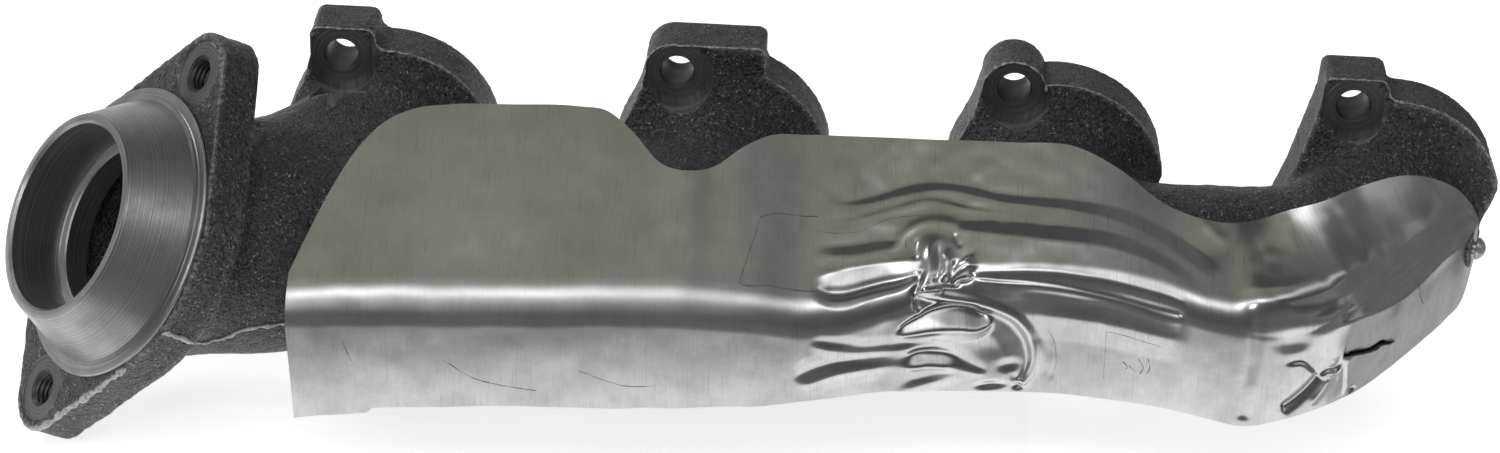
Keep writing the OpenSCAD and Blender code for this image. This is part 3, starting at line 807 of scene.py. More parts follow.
# ---------------------------------------------------------------- shield
def hermite(t, f, x):
    """Smooth interpolation of rows f at knots t, at x."""
    t, f = np.asarray(t, float), np.asarray(f, float)
    s = np.diff(f, axis=0) / np.diff(t)[:, None]
    m = np.vstack([s[:1], (s[:-1] * np.diff(t)[1:, None] + s[1:] * np.diff(t)[:-1, None])
                   / (t[2:] - t[:-2])[:, None], s[-1:]])
    i = np.clip(np.searchsorted(t, x, side="right") - 1, 0, len(t) - 2)
    h = (t[i + 1] - t[i])[:, None]
    u = ((x - t[i])[:, None]) / h
    return ((2 * u ** 3 - 3 * u ** 2 + 1) * f[i] + (u ** 3 - 2 * u ** 2 + u) * h * m[i]
            + (-2 * u ** 3 + 3 * u ** 2) * f[i + 1] + (u ** 3 - u ** 2) * h * m[i + 1])


def sheet_grid(t, front, nb, top):
    """Points of the shield's outer skin and their distance along the section from the foot of the bend."""
    knots = np.concatenate([[0], np.cumsum(np.linalg.norm(np.diff(ROWS[:, :3], axis=0), axis=1))])
    r = hermite(knots, ROWS, t)
    foot, edge, zb, rad = r[:, :3], r[:, 3:6], r[:, 6], r[:, 7]
    flat = edge[:, :2] - foot[:, :2]
    run = np.linalg.norm(flat, axis=1)
    inw = flat / run[:, None]
    rise = edge[:, 2] - foot[:, 2]
    reach = np.hypot(run - rad, rise)
    straight = np.sqrt(np.maximum(0.01, reach ** 2 - rad ** 2))
    slope = np.arctan2(rise, run - rad) - np.arctan2(rad, straight)
    turn = math.pi / 2 - slope
    cols, s = [], []
    for w in front:
        cols.append(np.stack([foot[:, 0], foot[:, 1], zb + (foot[:, 2] - zb) * w], 1))
        s.append(-(foot[:, 2] - zb) * (1 - w))
    for k in range(nb + 1):
        a = turn * k / nb
        d = rad * (1 - np.cos(a))
        cols.append(np.stack([foot[:, 0] + inw[:, 0] * d, foot[:, 1] + inw[:, 1] * d, foot[:, 2] + rad * np.sin(a)], 1))
        s.append(rad * a)
    last, arc_s = cols[-1], s[-1]
    length = np.linalg.norm(edge - last, axis=1)
    for w in top:
        cols.append(last + (edge - last) * w)
        s.append(arc_s + length * w)
    return np.stack(cols, 1), np.stack(s, 1)


def grid_normals(p):
    a = np.gradient(p, axis=0)
    b = np.gradient(p, axis=1)
    n = np.cross(a, b)
    return n / np.maximum(np.linalg.norm(n, axis=2), 1e-9)[..., None]


# Dents and folds in the sheet, in mm: t runs along the foot of the bend, s up the section from the foot.
# Each one is (kind, points (t, s), height, width, end tapers, fade). Heights are outward.
# ridge: a crest or groove along the line; step: the side to the left of the line stands higher;
FOLDS = [
    # shallow ripples that run over the top panel
    ("pleat", [(149, 43.0, 0.5, 0.5), (167, 40.6, 0.6, 0.7), (178, 40.0, 1, 1), (188.6, 37.3, 0.7, 0.8), (204.8, 31.6, 0.8, 0.9),
               (229, 29.6, 1.1, 1.1), (245.7, 27.4, 1.4, 1.3), (258, 23.5, 1.6, 1.5), (270, 17, 1.6, 1.2)],
     [(22, 0), (1.6, -0.75), (-1.6, 0), (-3, 0)], (16, 12)),
    ("pleat", [(191, 24.4, 0.6, 0.6), (200, 22.6, 1.0, 0.9), (213, 20.6, 1.2, 1.2), (237, 19.6, 1.2, 1.2), (250, 17.5, 1, 1), (262, 13, 0.7, 0.7)],
     [(3, 0), (2.0, 0), (-2.0, 0.9), (-17, 0)], (5, 12)),
    ("pleat", [(148, 36.6, 0.6, 0.5), (170, 35.8, 0.7, 0.6), (183, 34.8, 0.8, 0.8), (195, 29.4, 0.6, 0.6), (207, 26.4, 0.4, 0.4)],
     [(4, 0), (0.8, -0.14), (-0.8, 0.14), (-4, 0)], (20, 12)),
    ("pleat", [(147, 27.6, 0.6, 0.5), (158, 26.6, 1, 1), (168, 25, 1, 1), (176, 23, 0.6, 0.8)],
     [(7, 0), (1.8, -0.3), (-1.8, 0.3), (-6, 0)], (9, 4)),
    # left of the pinch: a raised roll over a groove
    ("pleat", [(148, 16.4, 0.4, 0.3), (152, 16.3, 0.8, 0.8), (156.5, 16.0, 1.05, 1), (167, 15.4, 0.95, 1), (178, 13.6, 0.75, 0.8), (183, 12.6, 0.5, 0.5)],
     [(8, 0), (5.4, 0.1), (4.4, 0.26), (0, -0.80), (-1.5, -1.45), (-2.4, -1.45), (-4.6, -0.5), (-7, 0)], (7, 3)),
    # the arch over the pinch, with two short slits
    ("ridge", [(173.5, 21), (175, 25.5), (180, 27.6), (188, 26), (192.5, 23.5), (195, 18)], 0.30, 1.6, (5, 5)),
    ("bump", [(185, 15)], 1.1, (7.5, 10)),
    ("ridge", [(180.5, 24), (179.5, 21), (179.5, 18.5), (180.5, 16)], -0.22, 0.6, (2, 2)),
    ("ridge", [(191, 22), (192, 19), (193.5, 16.5)], -0.25, 0.6, (1.5, 1.5)),
    ("ridge", [(184.5, 22), (184, 18), (184, 14), (184, 11), (183, 8.5), (181.5, 6.5)], 0.55, 1.0, (7, 2)),
    ("ridge", [(186.6, 21), (186.8, 16), (187, 11), (185.5, 7.5)], -0.7, 0.9, (6, 2)),
    ("ridge", [(189, 18), (189.5, 14), (189.5, 11), (188, 7.5)], 0.6, 1.0, (5, 2)),
    ("ridge", [(191.5, 14), (191, 11), (190, 7.5), (189, 5.5)], -0.9, 0.9, (3, 1.5)),
    ("ridge", [(181.5, 13), (181, 9), (180, 7), (180.5, 4), (181, 1.5), (182.5, -0.8)], -1.1, 0.8, (3, 2)),
    ("ridge", [(182, 6.6), (184, 5.9), (186.5, 5.6), (189, 4.6)], 1.0, 0.7, (1, 2)),
    # the hook and the bright flat to its right
    ("ridge", [(191.5, 5.0), (192.3, 7.0), (194.5, 7.6), (198, 7.2)], -1.5, 0.9, (1, 3)),
    ("ridge", [(194, 13.5), (195.5, 11), (196, 8.8)], 1.0, 1.6, (2, 2)),
    # right of the pinch: a pocket pressed into the bend, with a lip all round
    ("pleat", [(197, 8.2, 0.45, 0.45), (204.8, 7.3, 0.6, 0.6), (213, 7.0, 0.75, 0.75), (222, 6.6, 0.85, 0.9), (233.3, 5.7, 1.0, 1.05),
               (246, 5.0, 1.1, 1.2), (254, 4.9, 1.1, 1.2), (258.5, 4.7, 0.9, 1.0)],
     [(6, 0), (3.2, 0.04), (1.9, 0.22), (1.2, 0.12), (-1.5, -0.5), (-2.2, -0.5), (-3.5, 0.28), (-4.4, 0.34), (-6, 0.14), (-8, 0)], (3, 2.2)),
    # below the pocket the sheet bulges before it turns down
    ("pleat", [(207, -1.2, 1, 0.5), (222, -1.8, 1, 1), (245, -2.6, 1, 1), (262, -2.2, 1, 0.7)],
     [(7, 0), (3.4, -0.42), (-2.4, 0.75), (-3.4, 0.8), (-11, 0)], (9, 10)),
    # the large dent under the pinch, and the rolled edge round it
    ("bump", [(205, -14)], -0.9, (12, 9)),
        ("pleat", [(180.5, 6.8, 0.6, 0.6), (184, 4.8, 0.75, 0.7), (187, 3.6, 0.85, 0.8), (193.3, 1.2, 1, 1), (203, -2.4, 1.05, 1.1), (210.8, -7.4, 1.1, 1.25), (214.4, -12.5, 1.1, 1.3),
               (216, -19.4, 1, 1.3), (214.6, -25.4, 0.8, 1), (212, -29, 0.6, 0.6)],
     [(4.5, 0), (2.2, 0.12), (1.0, 0.75), (0.2, 1.0), (-0.7, 0.6), (-1.7, -0.75), (-2.6, -1.1), (-4.4, -0.7), (-8, 0)], (2, 2)),
    ("ridge", [(218.6, -11), (219.6, -18), (219, -26)], -0.16, 0.5, (4, 3)),
    ("ridge", [(221.4, -10), (222.2, -18), (221, -27)], -0.12, 0.5, (4, 3)),
    ("pleat", [(174.5, -4.6, 0.3, 0.3), (179, -5.2, 0.6, 0.6), (187.4, -6.2, 0.95, 1.0), (194, -7.4, 1.0, 1.05), (199, -8.6, 0.85, 1.0), (204.5, -7.6, 0.4, 0.4)],
     [(8, 0), (6.3, -1.2), (5.2, -1.95), (4.7, -1.98), (0.0, 1.95), (-0.7, 2.0), (-2.4, 1.1), (-5.5, 0)], (3, 3)),
    # long folds low on the front
    ("pleat", [(149, -0.4, 0.7, 0.5), (153, -1.6, 0.8, 0.9), (158, -3.2, 1, 1), (165.6, -6.2, 1, 1), (178.4, -9.6, 1, 1.1), (191, -11, 0.8, 0.9)],
     [(4, 0), (2.4, -0.22), (1.1, -0.36), (-1.1, 0.36), (-2.4, 0.24), (-4, 0)], (4, 5)),
    ("pleat", [(145.5, -14.5, 0.7, 0.7), (150, -12, 1.05, 1.0), (157, -9.9, 1.05, 1.05), (170, -11.8, 1, 1.0), (178.6, -14.4, 1, 1.05), (180.6, -15, 1, 2.2), (186, -16.4, 1, 2.22),
               (191, -18.2, 0.95, 2.05), (194.5, -20.2, 0.8, 0.9), (203, -24.4, 0.35, 0.4)],
     [(6, 0), (3.6, -0.22), (2.0, -0.58), (1.4, -0.55), (-1.5, 0.6), (-2.3, 0.58), (-3.6, 0.2), (-6, 0)], (4, 3)),
    ("bump", [(186, -24.4)], 0.85, (8.5, 2.3)),
    ("bump", [(204, -28)], -0.8, (4.2, 1.1)),
    ("bump", [(212, -28.6)], -1.0, (1.6, 1.0)),
    ("bump", [(209, -22)], -0.6, (3.0, 1.8)),
    # creases and dents right of the middle
    ("ridge", [(277, 12), (277.6, 6), (278, 0), (278, -9), (277, -17.5), (277.6, -27)], -0.42, 1.3, (8, 2)),
    ("ridge", [(281, 8), (281.4, 0), (281, -10), (280, -20)], 0.22, 1.6, (6, 6)),
    ("ridge", [(262, 36), (266, 32), (272, 28)], 0.30, 1.8, (4, 5)),
    ("ridge", [(281, 33), (282, 24), (280, 14)], -0.25, 2.0, (6, 6)),
    ("pleat", [(271, 14, 1, 0.1), (278, 14.6, 1, 0.6), (286, 15.6, 1, 1.0), (298, 16.6, 1, 1.0), (308, 17, 0.9, 0.7), (320, 17, 0.8, 0.3)],
     [(27, -0.7), (0, 4.0), (-4, 3.4), (-9, 1.2), (-13, 0)], (8, 10)),
    ("ridge", [(275, 9.5), (286, 12.4), (296, 14.4), (308, 15.8), (318, 15.8), (328, 15)], 0.95, 2.8, (7, 7)),
    ("bump", [(291, 0.5)], -0.9, (5.5, 3.2)),
    ("bump", [(309, 6)], 0.6, (6, 3.5)),
    ("bump", [(355, 11)], 1.6, (11, 9)),
    ("bump", [(357, 9)], -0.35, (2.4, 2)),
    ("bump", [(331, -7)], 0.35, (4.5, 4.5)),
    ("bump", [(313, -22)], -0.8, (1.6, 1.4)),
    # the skirt line, the torn pleat and its groove
    ("pleat", [(300, 2.6, 0.6, 0.5), (309, 1.6, 0.8, 0.8), (320, 0.2, 1, 1), (336, -0.9, 1, 1), (346, -0.3, 1, 1), (355, 1, 0.9, 1), (368, 0.6, 0.8, 0.9), (378, 2, 0.6, 0.7), (382, 2.4, 0.5, 0.6)],
     [(18, 0), (14, -0.45), (10, -1.25), (7, -1.6), (4.5, -1.45), (2.5, -1.0), (1, -0.42), (0, 0.06), (-1.2, 0.05), (-4, 0)], (10, 2)),
    ("step", [(307.5, -8), (306.5, -12.6), (302, -11.8), (300, -12.6), (297.5, -10.2), (294, -6.8), (288, -6.6)], 1.1, 0.5, (4, 4), 5.0),
    ("ridge", [(300, -12), (297, -15.5), (293, -19), (288.5, -21.8)], -1.5, 1.3, (1, 2)),
    ("ridge", [(303.6, -14), (301, -18), (297, -22)], 0.5, 1.0, (2, 3)),
    ("step", [(310.5, -23.5), (309.5, -17), (308.2, -9.5)], -0.8, 0.4, (3, 2), 4.0),
    ("step", [(307.5, -8.6), (314, -10.2), (319, -11.8), (324, -12), (333, -15)], -1.3, 0.5, (1.5, 4), 4.0),
]
# the torn slit: a line and its half width at each point
SLIT = [(307.6, -8.7, 0.5), (312, -9.8, 0.8), (318, -11.7, 0.75), (322, -12.2, 1.0), (325, -12.0, 0.95), (329, -13.6, 0.5),
        (333.6, -15.2, 0.05)]
SPREAD = [(0, 1.0), (140, 1.0), (148, 0.42), (228, 0.42), (236, 0.62), (262, 0.62), (284, 0.62), (290, 0.42), (336, 0.42), (344, 0.9),
          (384, 0.9)]


def smooth_line(points, step=0.8):
    """The line through the points, rounded and cut into short pieces."""
    p = np.array(points, float)
    if len(p) < 2:
        return p
    k = np.concatenate([[0], np.cumsum(np.linalg.norm(np.diff(p, axis=0), axis=1))])
    n = max(int(k[-1] / step), 2)
    x = np.linspace(0, k[-1], n + 1)
    return hermite(k, p, x) if len(p) > 2 else np.column_stack([np.interp(x, k, p[:, i]) for i in range(p.shape[1])])


def along(line, tt, ss):
    """Signed distance to a line (left is positive) and the length run along it."""
    best = np.full(tt.shape, 1e9)
    sign = np.ones(tt.shape)
    run = np.zeros(tt.shape)
    done = 0.0
    for (x0, y0), (x1, y1) in zip(line[:-1, :2], line[1:, :2]):
        ex, ey = x1 - x0, y1 - y0
        ln = math.hypot(ex, ey)
        u = np.clip(((tt - x0) * ex + (ss - y0) * ey) / (ln * ln), 0, 1)
        dx, dy = tt - x0 - u * ex, ss - y0 - u * ey
        d = np.hypot(dx, dy)
        near = d < best
        best = np.where(near, d, best)
        sign = np.where(near, np.where(ex * dy - ey * dx >= 0, 1.0, -1.0), sign)
        run = np.where(near, done + u * ln, run)
        done += ln
    return best * sign, run, done


def ease(x):
    x = np.clip(x, 0, 1)
    return x * x * (3 - 2 * x)


def add_pleat(out, tt, ss, pts, section, tapers):
    """Adds a fold whose section is drawn as (offset, height) pairs and scaled along the line."""
    pts = np.array(pts, float)
    line = smooth_line(pts, 0.8)
    sec = np.array(sorted(section), float)
    reach = np.abs(sec[:, 0]).max() * pts[:, 2].max() + 1
    lo, hi = line.min(0) - reach, line.max(0) + reach
    m = (tt > lo[0]) & (tt < hi[0]) & (ss > lo[1]) & (ss < hi[1])
    d, run, total = along(line, tt[m], ss[m])
    k = np.concatenate([[0], np.cumsum(np.hypot(*np.diff(line[:, :2], axis=0).T))])
    w, h = np.interp(run, k, line[:, 2]), np.interp(run, k, line[:, 3])
    x = d / np.maximum(w, 0.05)
    env = ease(run / tapers[0]) * ease((total - run) / tapers[1])
    soft = sum(np.interp(x + o, sec[:, 0], sec[:, 1]) for o in (-0.5, -0.3, -0.1, 0.1, 0.3, 0.5)) / 6
    out[m] += h * env * soft


def fold_height(tt, ss):
    out = np.zeros(tt.shape)
    for f in FOLDS:
        if f[0] == "pleat":
            add_pleat(out, tt, ss, *f[1:])
            continue
        kind, pts, height, width = f[:4]
        if kind == "bump":
            (x, y), (wx, wy) = pts[0], width
            r = ((tt - x) / wx) ** 2 + ((ss - y) / wy) ** 2
            out += height * np.exp(-r * (1 + 0.35 * r))
            continue
        line = smooth_line(pts)
        fade = f[5] if len(f) > 5 else 0
        reach = max(4 * width, 4 * fade) + 1
        lo, hi = line.min(0) - reach, line.max(0) + reach
        m = (tt > lo[0]) & (tt < hi[0]) & (ss > lo[1]) & (ss < hi[1])
        d, run, total = along(line, tt[m], ss[m])
        a, b = f[4]
        env = ease(run / a) * ease((total - run) / b)
        if kind == "ridge":
            e = 0.35 * width
            v = np.exp(-((np.sqrt(d * d + e * e) - e) / width) ** 1.35)
        else:
            v = 0.5 * np.tanh(d / width) * np.exp(-np.abs(d) / fade)
        out[m] += height * env * v
    return out


def build_shield(mats):
    knots = np.array(SPREAD)
    end = np.linalg.norm(np.diff(ROWS[:, :3], axis=0), axis=1).sum()
    t = [0.0]
    while t[-1] < end:
        t.append(t[-1] + float(np.interp(t[-1], knots[:, 0], knots[:, 1])))
    t = np.array(t[:-1] + [end])
    nf, nb = 56, 34
    up = np.concatenate([np.linspace(0, 0.5, 52)[1:], np.linspace(0.5, 1, 30)[1:]])
    p, s = sheet_grid(t, np.linspace(0, 1, nf + 1)[:-1], nb, up)
    nu, nv = s.shape
    tt = np.repeat(t[:, None], nv, 1)
    nrm = grid_normals(p)
    flat = p.reshape(-1, 3)
    calm = 0.10 * noise(flat, 17, 5) + 0.05 * noise(flat, 7, 6)
    busy = np.exp(-((tt - 190) / 45) ** 2) + np.exp(-((tt - 305) / 30) ** 2)
    rough = (0.10 * noise(flat, 4.0, 7)).reshape(s.shape) * busy
    lean = np.clip(1 - tt / 40, 0, 1)
    low = np.clip(-s / 27, 0, 1)
    p[..., 0] += (1.0 + 1.8 * low) * lean
    p[..., 2] -= 1.5 * ease((24 - tt) / 1.6) * low
    h = fold_height(tt, s) + calm.reshape(s.shape) + rough
    p = p + nrm * h[..., None]
    i, j = np.meshgrid(np.arange(nu - 1), np.arange(nv - 1), indexing="ij")
    a = i * nv + j
    q = np.stack([a, a + nv, a + nv + 1, a + 1], -1).reshape(-1, 4)
    # the torn slit
    line = smooth_line([x[:2] for x in SLIT], 0.5)
    d, run, total = along(line, tt, s)
    k = np.concatenate([[0], np.cumsum(np.linalg.norm(np.diff(np.array(SLIT)[:, :2], axis=0), axis=1))])
    half = np.interp(run / total, k / k[-1], [x[2] for x in SLIT])
    open_ = (np.abs(d) < half) & (run > 0) & (run < total)
    # a near-black copy of the skin 2.6 mm inside, round the slit: painted shade, so the opening reads black
    near = (np.abs(d) < 4.5).ravel()[q].all(1)
    used = np.unique(q[near])
    inner = make_mesh("shield_inner_layer", (p - 2.6 * nrm).reshape(-1, 3)[used], np.searchsorted(used, q[near]))
    inner.data.materials.append(mats["under"])
    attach(inner, "root")
    q = q[~(open_.ravel()[q].sum(1) >= 3)]
    obj = make_mesh("shield_sheet", p.reshape(-1, 3), q)
    uvl = obj.data.uv_layers.new(name="sheet")
    uu = tt.ravel() * MM
    vv = s.ravel() * MM
    li = np.zeros(len(obj.data.loops), np.int32)
    obj.data.loops.foreach_get("vertex_index", li)
    uvl.data.foreach_set("uv", np.stack([uu[li], vv[li]], 1).astype(np.float32).ravel())
    sharp_border(obj)
    sol = obj.modifiers.new("thickness", "SOLIDIFY")
    sol.thickness = SHEET_T * MM
    sol.offset = -1
    sol.material_offset_rim = 1
    obj.data.materials.append(mats["sheet"])
    obj.data.materials.append(mats["rim"])
    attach(obj, "root")
    build_marks(p, t, s, mats)
    return obj


# Thin marks on the sheet: lines of (t, s) points and a width in mm
MARKS = [
    ([(45.5, -10.5), (55, -16.6), (64, -19), (72, -20.4)], 0.22),
    ([(16.4, -4), (17.5, -7.5), (18.6, -10.2)], 0.16),
    ([(84, -14), (92, -17.5), (99, -19), (106, -18.6)], 0.14),
    ([(150, 33.5), (162, 31.8), (171, 32.6), (182, 30.2)], 0.12),
    ([(176.5, 24), (176.8, 21.5)], 0.35),
    ([(341, 2), (343, -1.2), (345, -6), (347, -9)], 0.14),
    ([(246, -15), (247.5, -17.5), (246.8, -20)], 0.3), ([(243.5, -18), (245.5, -19.4)], 0.3),
    ([(248.6, -14.2), (249.4, -17), (248.8, -19)], 0.25), ([(241.6, -17.2), (243, -18.8), (242.6, -19.4)], 0.22),
    ([(236, -8), (236.4, -24)], 0.1), ([(236, -8), (252, -8.8)], 0.1),
    ([(219, -9), (221.4, -13.6), (222.4, -19), (221.8, -26)], 0.12),
    ([(133.5, 36.5), (132, 30), (129.5, 19.5), (128.6, 15.6), (138, 15.2), (150, 14.6)], 0.26),
    ([(133.5, 36.5), (137, 37.8), (150, 38.2)], 0.22),
]


def build_marks(p, t, s, mats):
    """Scratches and scribed lines, laid just over the sheet."""
    verts, quads = [], []
    for pts, width in MARKS:
        c = smooth_line(pts, 0.4)
        wob = np.column_stack([noise(np.column_stack([c, c[:, 0]]), 3.1, 50 + k) for k in (0, 1)])
        c = c + 0.18 * wob
        way = np.gradient(c, axis=0)
        way /= np.maximum(np.linalg.norm(way, axis=1), 1e-9)[:, None]
        off = np.column_stack([-way[:, 1], way[:, 0]])
        w = 0.5 * width * np.clip(0.8 + 0.9 * noise(np.column_stack([c, c[:, 1]]), 1.6, 61), 0.15, 1.6)
        base = sum(len(v) for v in verts)
        rows = []
        for x, y in np.stack([c - off * w[:, None], c + off * w[:, None]], 1).reshape(-1, 2):
            i = min(max(int(np.searchsorted(t, x)) - 1, 0), len(t) - 2)
            u = (x - t[i]) / (t[i + 1] - t[i])
            ps, ss = p[i] * (1 - u) + p[i + 1] * u, s[i] * (1 - u) + s[i + 1] * u
            j = min(max(int(np.searchsorted(ss, y)) - 1, 0), len(ss) - 2)
            k = (y - ss[j]) / (ss[j + 1] - ss[j])
            n = np.cross(p[i + 1, j] - p[i, j], p[i, j + 1] - p[i, j])
            rows.append(ps[j] * (1 - k) + ps[j + 1] * k + 0.05 * n / np.linalg.norm(n))
        verts.append(np.array(rows))
        m = np.arange(len(c) - 1) * 2 + base
        quads.append(np.stack([m, m + 2, m + 3, m + 1], 1))
    obj = make_mesh("sheet_marks", np.vstack(verts), np.vstack(quads))
    obj.data.materials.append(mats["mark"])
    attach(obj, "root")
    return obj


def build_tab(mats):
    """Tab turned in under the log, with a hole for its rivet."""
    x0, x1, y0, y1 = *TAB_X, *TAB_Y
    n = 64
    a = np.linspace(0, 2 * math.pi, n, endpoint=False)
    c = np.array([TAB_RIVET[0], TAB_RIVET[1]])
    hole = c + (SHANK_R + 0.1) * np.stack([np.cos(a), np.sin(a)], 1)
    d = np.stack([np.cos(a), np.sin(a)], 1)
    tx = np.where(d[:, 0] > 0, (x1 - c[0]) / np.maximum(d[:, 0], 1e-9), (x0 - c[0]) / np.minimum(d[:, 0], -1e-9))
    ty = np.where(d[:, 1] > 0, (y1 - c[1]) / np.maximum(d[:, 1], 1e-9), (y0 - c[1]) / np.minimum(d[:, 1], -1e-9))
    rim = c + d * np.minimum(tx, ty)[:, None]
    rings = [hole, hole * 0.5 + rim * 0.5, rim]
    v = []
    for z in (TAB_RIVET[2], TAB_RIVET[2] + SHEET_T):
        for r in rings:
            v.append(np.column_stack([r, np.full(n, z)]))
    v = np.array(v).reshape(-1, 3)
    q = []
    j = np.arange(n)
    jn = (j + 1) % n
    for a_, b_, flip in ((0, 1, 0), (1, 2, 0), (2, 5, 0), (5, 4, 0), (4, 3, 0), (3, 0, 0)):
        q.append(np.stack([a_ * n + j, b_ * n + j, b_ * n + jn, a_ * n + jn], 1)[:, ::-1])
    obj = make_mesh("shield_tab", v, np.vstack(q))
    uvl = obj.data.uv_layers.new(name="sheet")
    li = np.zeros(len(obj.data.loops), np.int32)
    obj.data.loops.foreach_get("vertex_index", li)
    uvl.data.foreach_set("uv", (v[li][:, :2] * MM).astype(np.float32).ravel())
    obj.data.materials.append(mats["sheet"])
    sharpen(obj, 30)
    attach(obj, "root")
    return obj


def build_rivet(name, at, axis, mats):
    dome = (HEAD_R ** 2 + HEAD_H ** 2) / (2 * HEAD_H)
    top = math.asin(min(1, HEAD_R / dome))
    if HEAD_H > dome:
        top = math.pi - top
    prof = [(0.001, -SHANK_LEN + 0.2), (SHANK_R - 0.4, -SHANK_LEN + 0.2), (SHANK_R, -SHANK_LEN + 0.6), (SHANK_R, -4),
            (SHANK_R, 0.0), (HEAD_R - 0.25, 0.0), (HEAD_R, 0.2)]
    for k in range(1, 17):
        a = top * (1 - k / 16.0)
        prof.append((max(dome * math.sin(a), 0.001), HEAD_H - dome + dome * math.cos(a)))
    obj = lathe(name, prof, at, axis, [mats["rivet"]], np.zeros(len(prof) - 1), 64)
    return obj


# ---------------------------------------------------------------- stage
def build_stage():
    z = cad_box[0][2] - 0.0004
    v = np.array([(-2600, -2600, 0), (2600, -2600, 0), (2600, 2600, 0), (-2600, 2600, 0)], float)
    v[:, 2] = z / MM
    floor = make_mesh("floor", v, np.array([[0, 1, 2, 3]]))
    m, nt, b = material("pale_floor")
    b.inputs["Base Color"].default_value = (0.86, 0.86, 0.855, 1)
    b.inputs["Roughness"].default_value = 0.75
    b.inputs["Emission Color"].default_value = (1, 1, 1, 1)
    b.inputs["Emission Strength"].default_value = 0.72
    floor.data.materials.append(m)
    w = bpy.data.worlds.new("studio")
    bpy.context.scene.world = w
    w.use_nodes = True
    nt = w.node_tree
    nt.nodes.clear()
    out = nt.nodes.new("ShaderNodeOutputWorld")
    bg = nt.nodes.new("ShaderNodeBackground")
    nt.links.new(bg.outputs[0], out.inputs[0])
    # brightness by the angle round the X axis: 0 is straight ahead of the part, 0.5 overhead, 1 behind it
    way = node(nt, "ShaderNodeSeparateXYZ", {0: node(nt, "ShaderNodeTexCoord").outputs["Generated"]}).outputs
    turn = math_node(nt, "ARCTAN2", way[2], math_node(nt, "MULTIPLY", way[1], -1.0))
    lift = math_node(nt, "DIVIDE", turn, math.pi)
    grey = [(0.0, 0.12), (0.13, 0.13), (0.19, 0.20), (0.235, 0.6), (0.265, 1.5), (0.29, 2.2), (0.325, 2.1),
            (0.35, 1.2), (0.38, 0.45)]
    sky = ramp(nt, lift, [(x, (g, g, g * 1.03)) for x, g in grey]
               + [(0.40, (0.330, 0.312, 0.265)), (0.485, (0.325, 0.307, 0.260)), (0.51, (0.15, 0.147, 0.14)),
                  (0.535, (0.085, 0.085, 0.092)), (0.66, (0.11, 0.11, 0.12)), (0.76, (0.34, 0.34, 0.35)),
                  (0.86, (0.62, 0.62, 0.63)), (1.0, (0.80, 0.80, 0.81))])
    # towards the end of the part the ceiling goes dark
    dim = ramp(nt, lift, [(x, (g, g, g * 1.03)) for x, g in
                          [(0.0, 0.10), (0.13, 0.11), (0.20, 0.16), (0.25, 0.50), (0.285, 1.3), (0.325, 1.3), (0.36, 0.5),
                           (0.39, 0.25), (0.46, 0.21), (0.56, 0.18), (0.66, 0.17), (0.78, 0.20), (0.88, 0.30),
                           (1.0, 0.4)]])
    sky = mix_col(nt, ramp(nt, way[0], [(0.15, 0.0), (0.26, 1.0)]), sky, dim)
    right = ramp(nt, way[0], [(0.40, 1.0), (0.62, 0.8)])
    bg.inputs[1].default_value = 1.0
    nt.links.new(right, bg.inputs[1])
    nt.links.new(sky, bg.inputs[0])
    # cards that only the metal mirrors: dark ones, and a strip of table that is lighter towards the part
    for name, x0, x1, y0, y1, stops in (
            ("dark_card", -1500, 1500, -2600, -295, [(0.0, 0.12), (1.0, 0.12)]),
            ("side_card", 262, 2600, -295, 2600, [(0.0, 0.16), (1.0, 0.16)]),
            ("skirt_card", 60, 262, -95, 400, [(0.0, 0.62), (1.0, 0.62)]),
            ("table_strip", -1500, 262, -295, -95, [(0.0, 0.12), (0.44, 0.14), (0.52, 0.36), (0.60, 0.84), (0.70, 1.22), (0.85, 1.45), (1.0, 1.6)])):
        h = z / MM + 0.3
        card = make_mesh(name, np.array([(x0, y0, h), (x1, y0, h), (x1, y1, h), (x0, y1, h)], float), np.array([[0, 1, 2, 3]]))
        m, nt, b = material(name)
        y = node(nt, "ShaderNodeSeparateXYZ", {0: node(nt, "ShaderNodeTexCoord").outputs["Object"]}).outputs[1]
        near = math_node(nt, "MULTIPLY_ADD", y, 5.0, 1.475)
        b.inputs["Base Color"].default_value = (0, 0, 0, 1)
        nt.links.new(ramp(nt, near, [(x, (g, g, g * 1.02)) for x, g in stops]), b.inputs["Emission Color"])
        b.inputs["Emission Strength"].default_value = 1.0
        card.data.materials.append(m)
        card.visible_camera = card.visible_diffuse = card.visible_shadow = False
    bpy.context.scene.view_settings.view_transform = "Standard"


def area(name, loc, target, size, power, size_y=None):
    l = bpy.data.lights.new(name, "AREA")
    l.energy = power
    l.size = size
    if size_y:
        l.shape, l.size_y = "RECTANGLE", size_y
    o = bpy.data.objects.new(name, l)
    o.location = loc
    o.rotation_euler = (Vector(target) - Vector(loc)).to_track_quat("-Z", "Y").to_euler()
    bpy.context.scene.collection.objects.link(o)
    return o


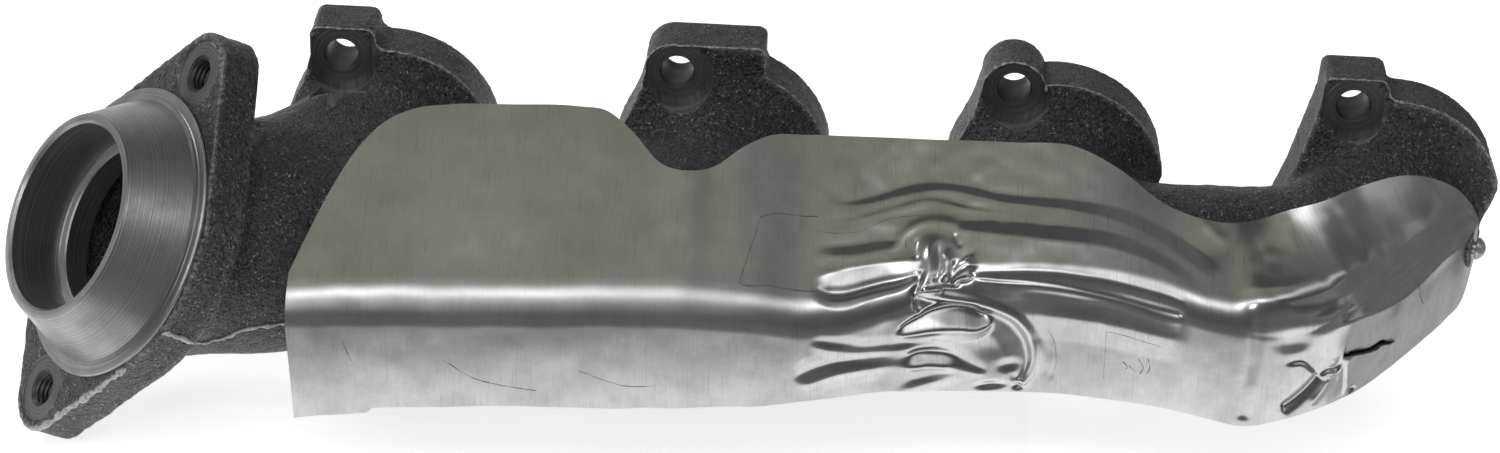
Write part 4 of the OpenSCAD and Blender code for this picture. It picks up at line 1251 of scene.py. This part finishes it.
def build_camera():
    a, e, r = math.radians(1.860), math.radians(28.414), math.radians(2.087)
    right = Vector((math.cos(a), math.sin(a), 0))
    up = Vector((-math.sin(a) * math.sin(e), math.cos(a) * math.sin(e), math.cos(e)))
    back = Vector((math.sin(a) * math.cos(e), -math.cos(a) * math.cos(e), math.sin(e)))
    x = right * math.cos(r) + up * math.sin(r)
    y = -right * math.sin(r) + up * math.cos(r)
    cam = bpy.data.cameras.new("camera")
    cam.sensor_width = 36
    cam.lens = 92.47
    cam.clip_start, cam.clip_end = 0.05, 20
    o = bpy.data.objects.new("camera", cam)
    o.matrix_world = Matrix(((x[0], y[0], back[0], 0.00652), (x[1], y[1], back[1], -1.04125),
                             (x[2], y[2], back[2], 0.50403), (0, 0, 0, 1)))
    bpy.context.scene.collection.objects.link(o)
    bpy.context.scene.camera = o


build_camera()
mats = {
    "iron": sand_cast(),
    "seat": machined("machined_seat", (0.27, 0.27, 0.28), 0.40),
    "stud_seat": machined("stud_seat", (0.17, 0.17, 0.18), 0.45, 1800),
    # lighter machined colour for the recess wall: painted bounce light
    "wall": machined("recess_wall_painted_light", (0.38, 0.38, 0.39), 0.5, 1500, dark=0.7),
    "turned": machined("turned_face", (0.36, 0.36, 0.365), 0.36, 2300, dark=0.55),
    "bore": machined("turned_bore", (0.42, 0.415, 0.41), 0.40, 2300, dark=0.5),
    "hole": machined("drilled_hole", (0.07, 0.07, 0.075), 0.45),
    "rivet": machined("rivet_head", (0.62, 0.62, 0.61), 0.28, 300, dark=0.85),
    "sheet": sheet_steel(),
    # lighter colour for the flange-edge beads: a painted edge highlight
    "flash": flash_and_edge_highlight("flange_edge_highlight", (0.09, 0.088, 0.085), (0.38, 0.37, 0.35)),
    "trim": flash_and_edge_highlight("trimmed_edge", (0.26, 0.245, 0.225), (0.42, 0.395, 0.36)),
    # near-black sheet behind the slit: painted shade
    "under": plain("slit_shade_layer", (0.015, 0.015, 0.015), 0.8),
    "rim": plain("sheared_edge", (0.13, 0.13, 0.13), 0.7),
    "ledge": plain("ledge_face", (0.42, 0.42, 0.42), 0.55),
    "mark": plain("scratch", (0.13, 0.12, 0.12), 0.55),
}
body = build_casting(mats)
outlet = build_outlet(mats)
seats = build_seats(mats)
build_beads(mats)
tapped = build_tapped(mats)
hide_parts("manifold_casting")
shield = build_shield(mats)
tab = build_tab(mats)
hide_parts("heat_shield")
rivet1 = build_rivet("end_rivet_head", END_RIVET,
                     (math.cos(END_RIVET_TURN), math.sin(END_RIVET_TURN), 0), mats)
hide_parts("end_rivet")
rivet2 = build_rivet("tab_rivet_head", TAB_RIVET, (0, 0, -1), mats)
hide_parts("tab_rivet")
build_stage()
area("key", (-0.20, -0.98, 1.20), (-0.05, -0.08, -0.04), 0.50, 1.3, 0.22)
area("side", (-0.95, 0.30, 0.95), (0, -0.05, -0.04), 0.30, 3.5)
area("low", (-0.55, -0.95, 0.42), (0, -0.05, -0.04), 0.20, 1.5)
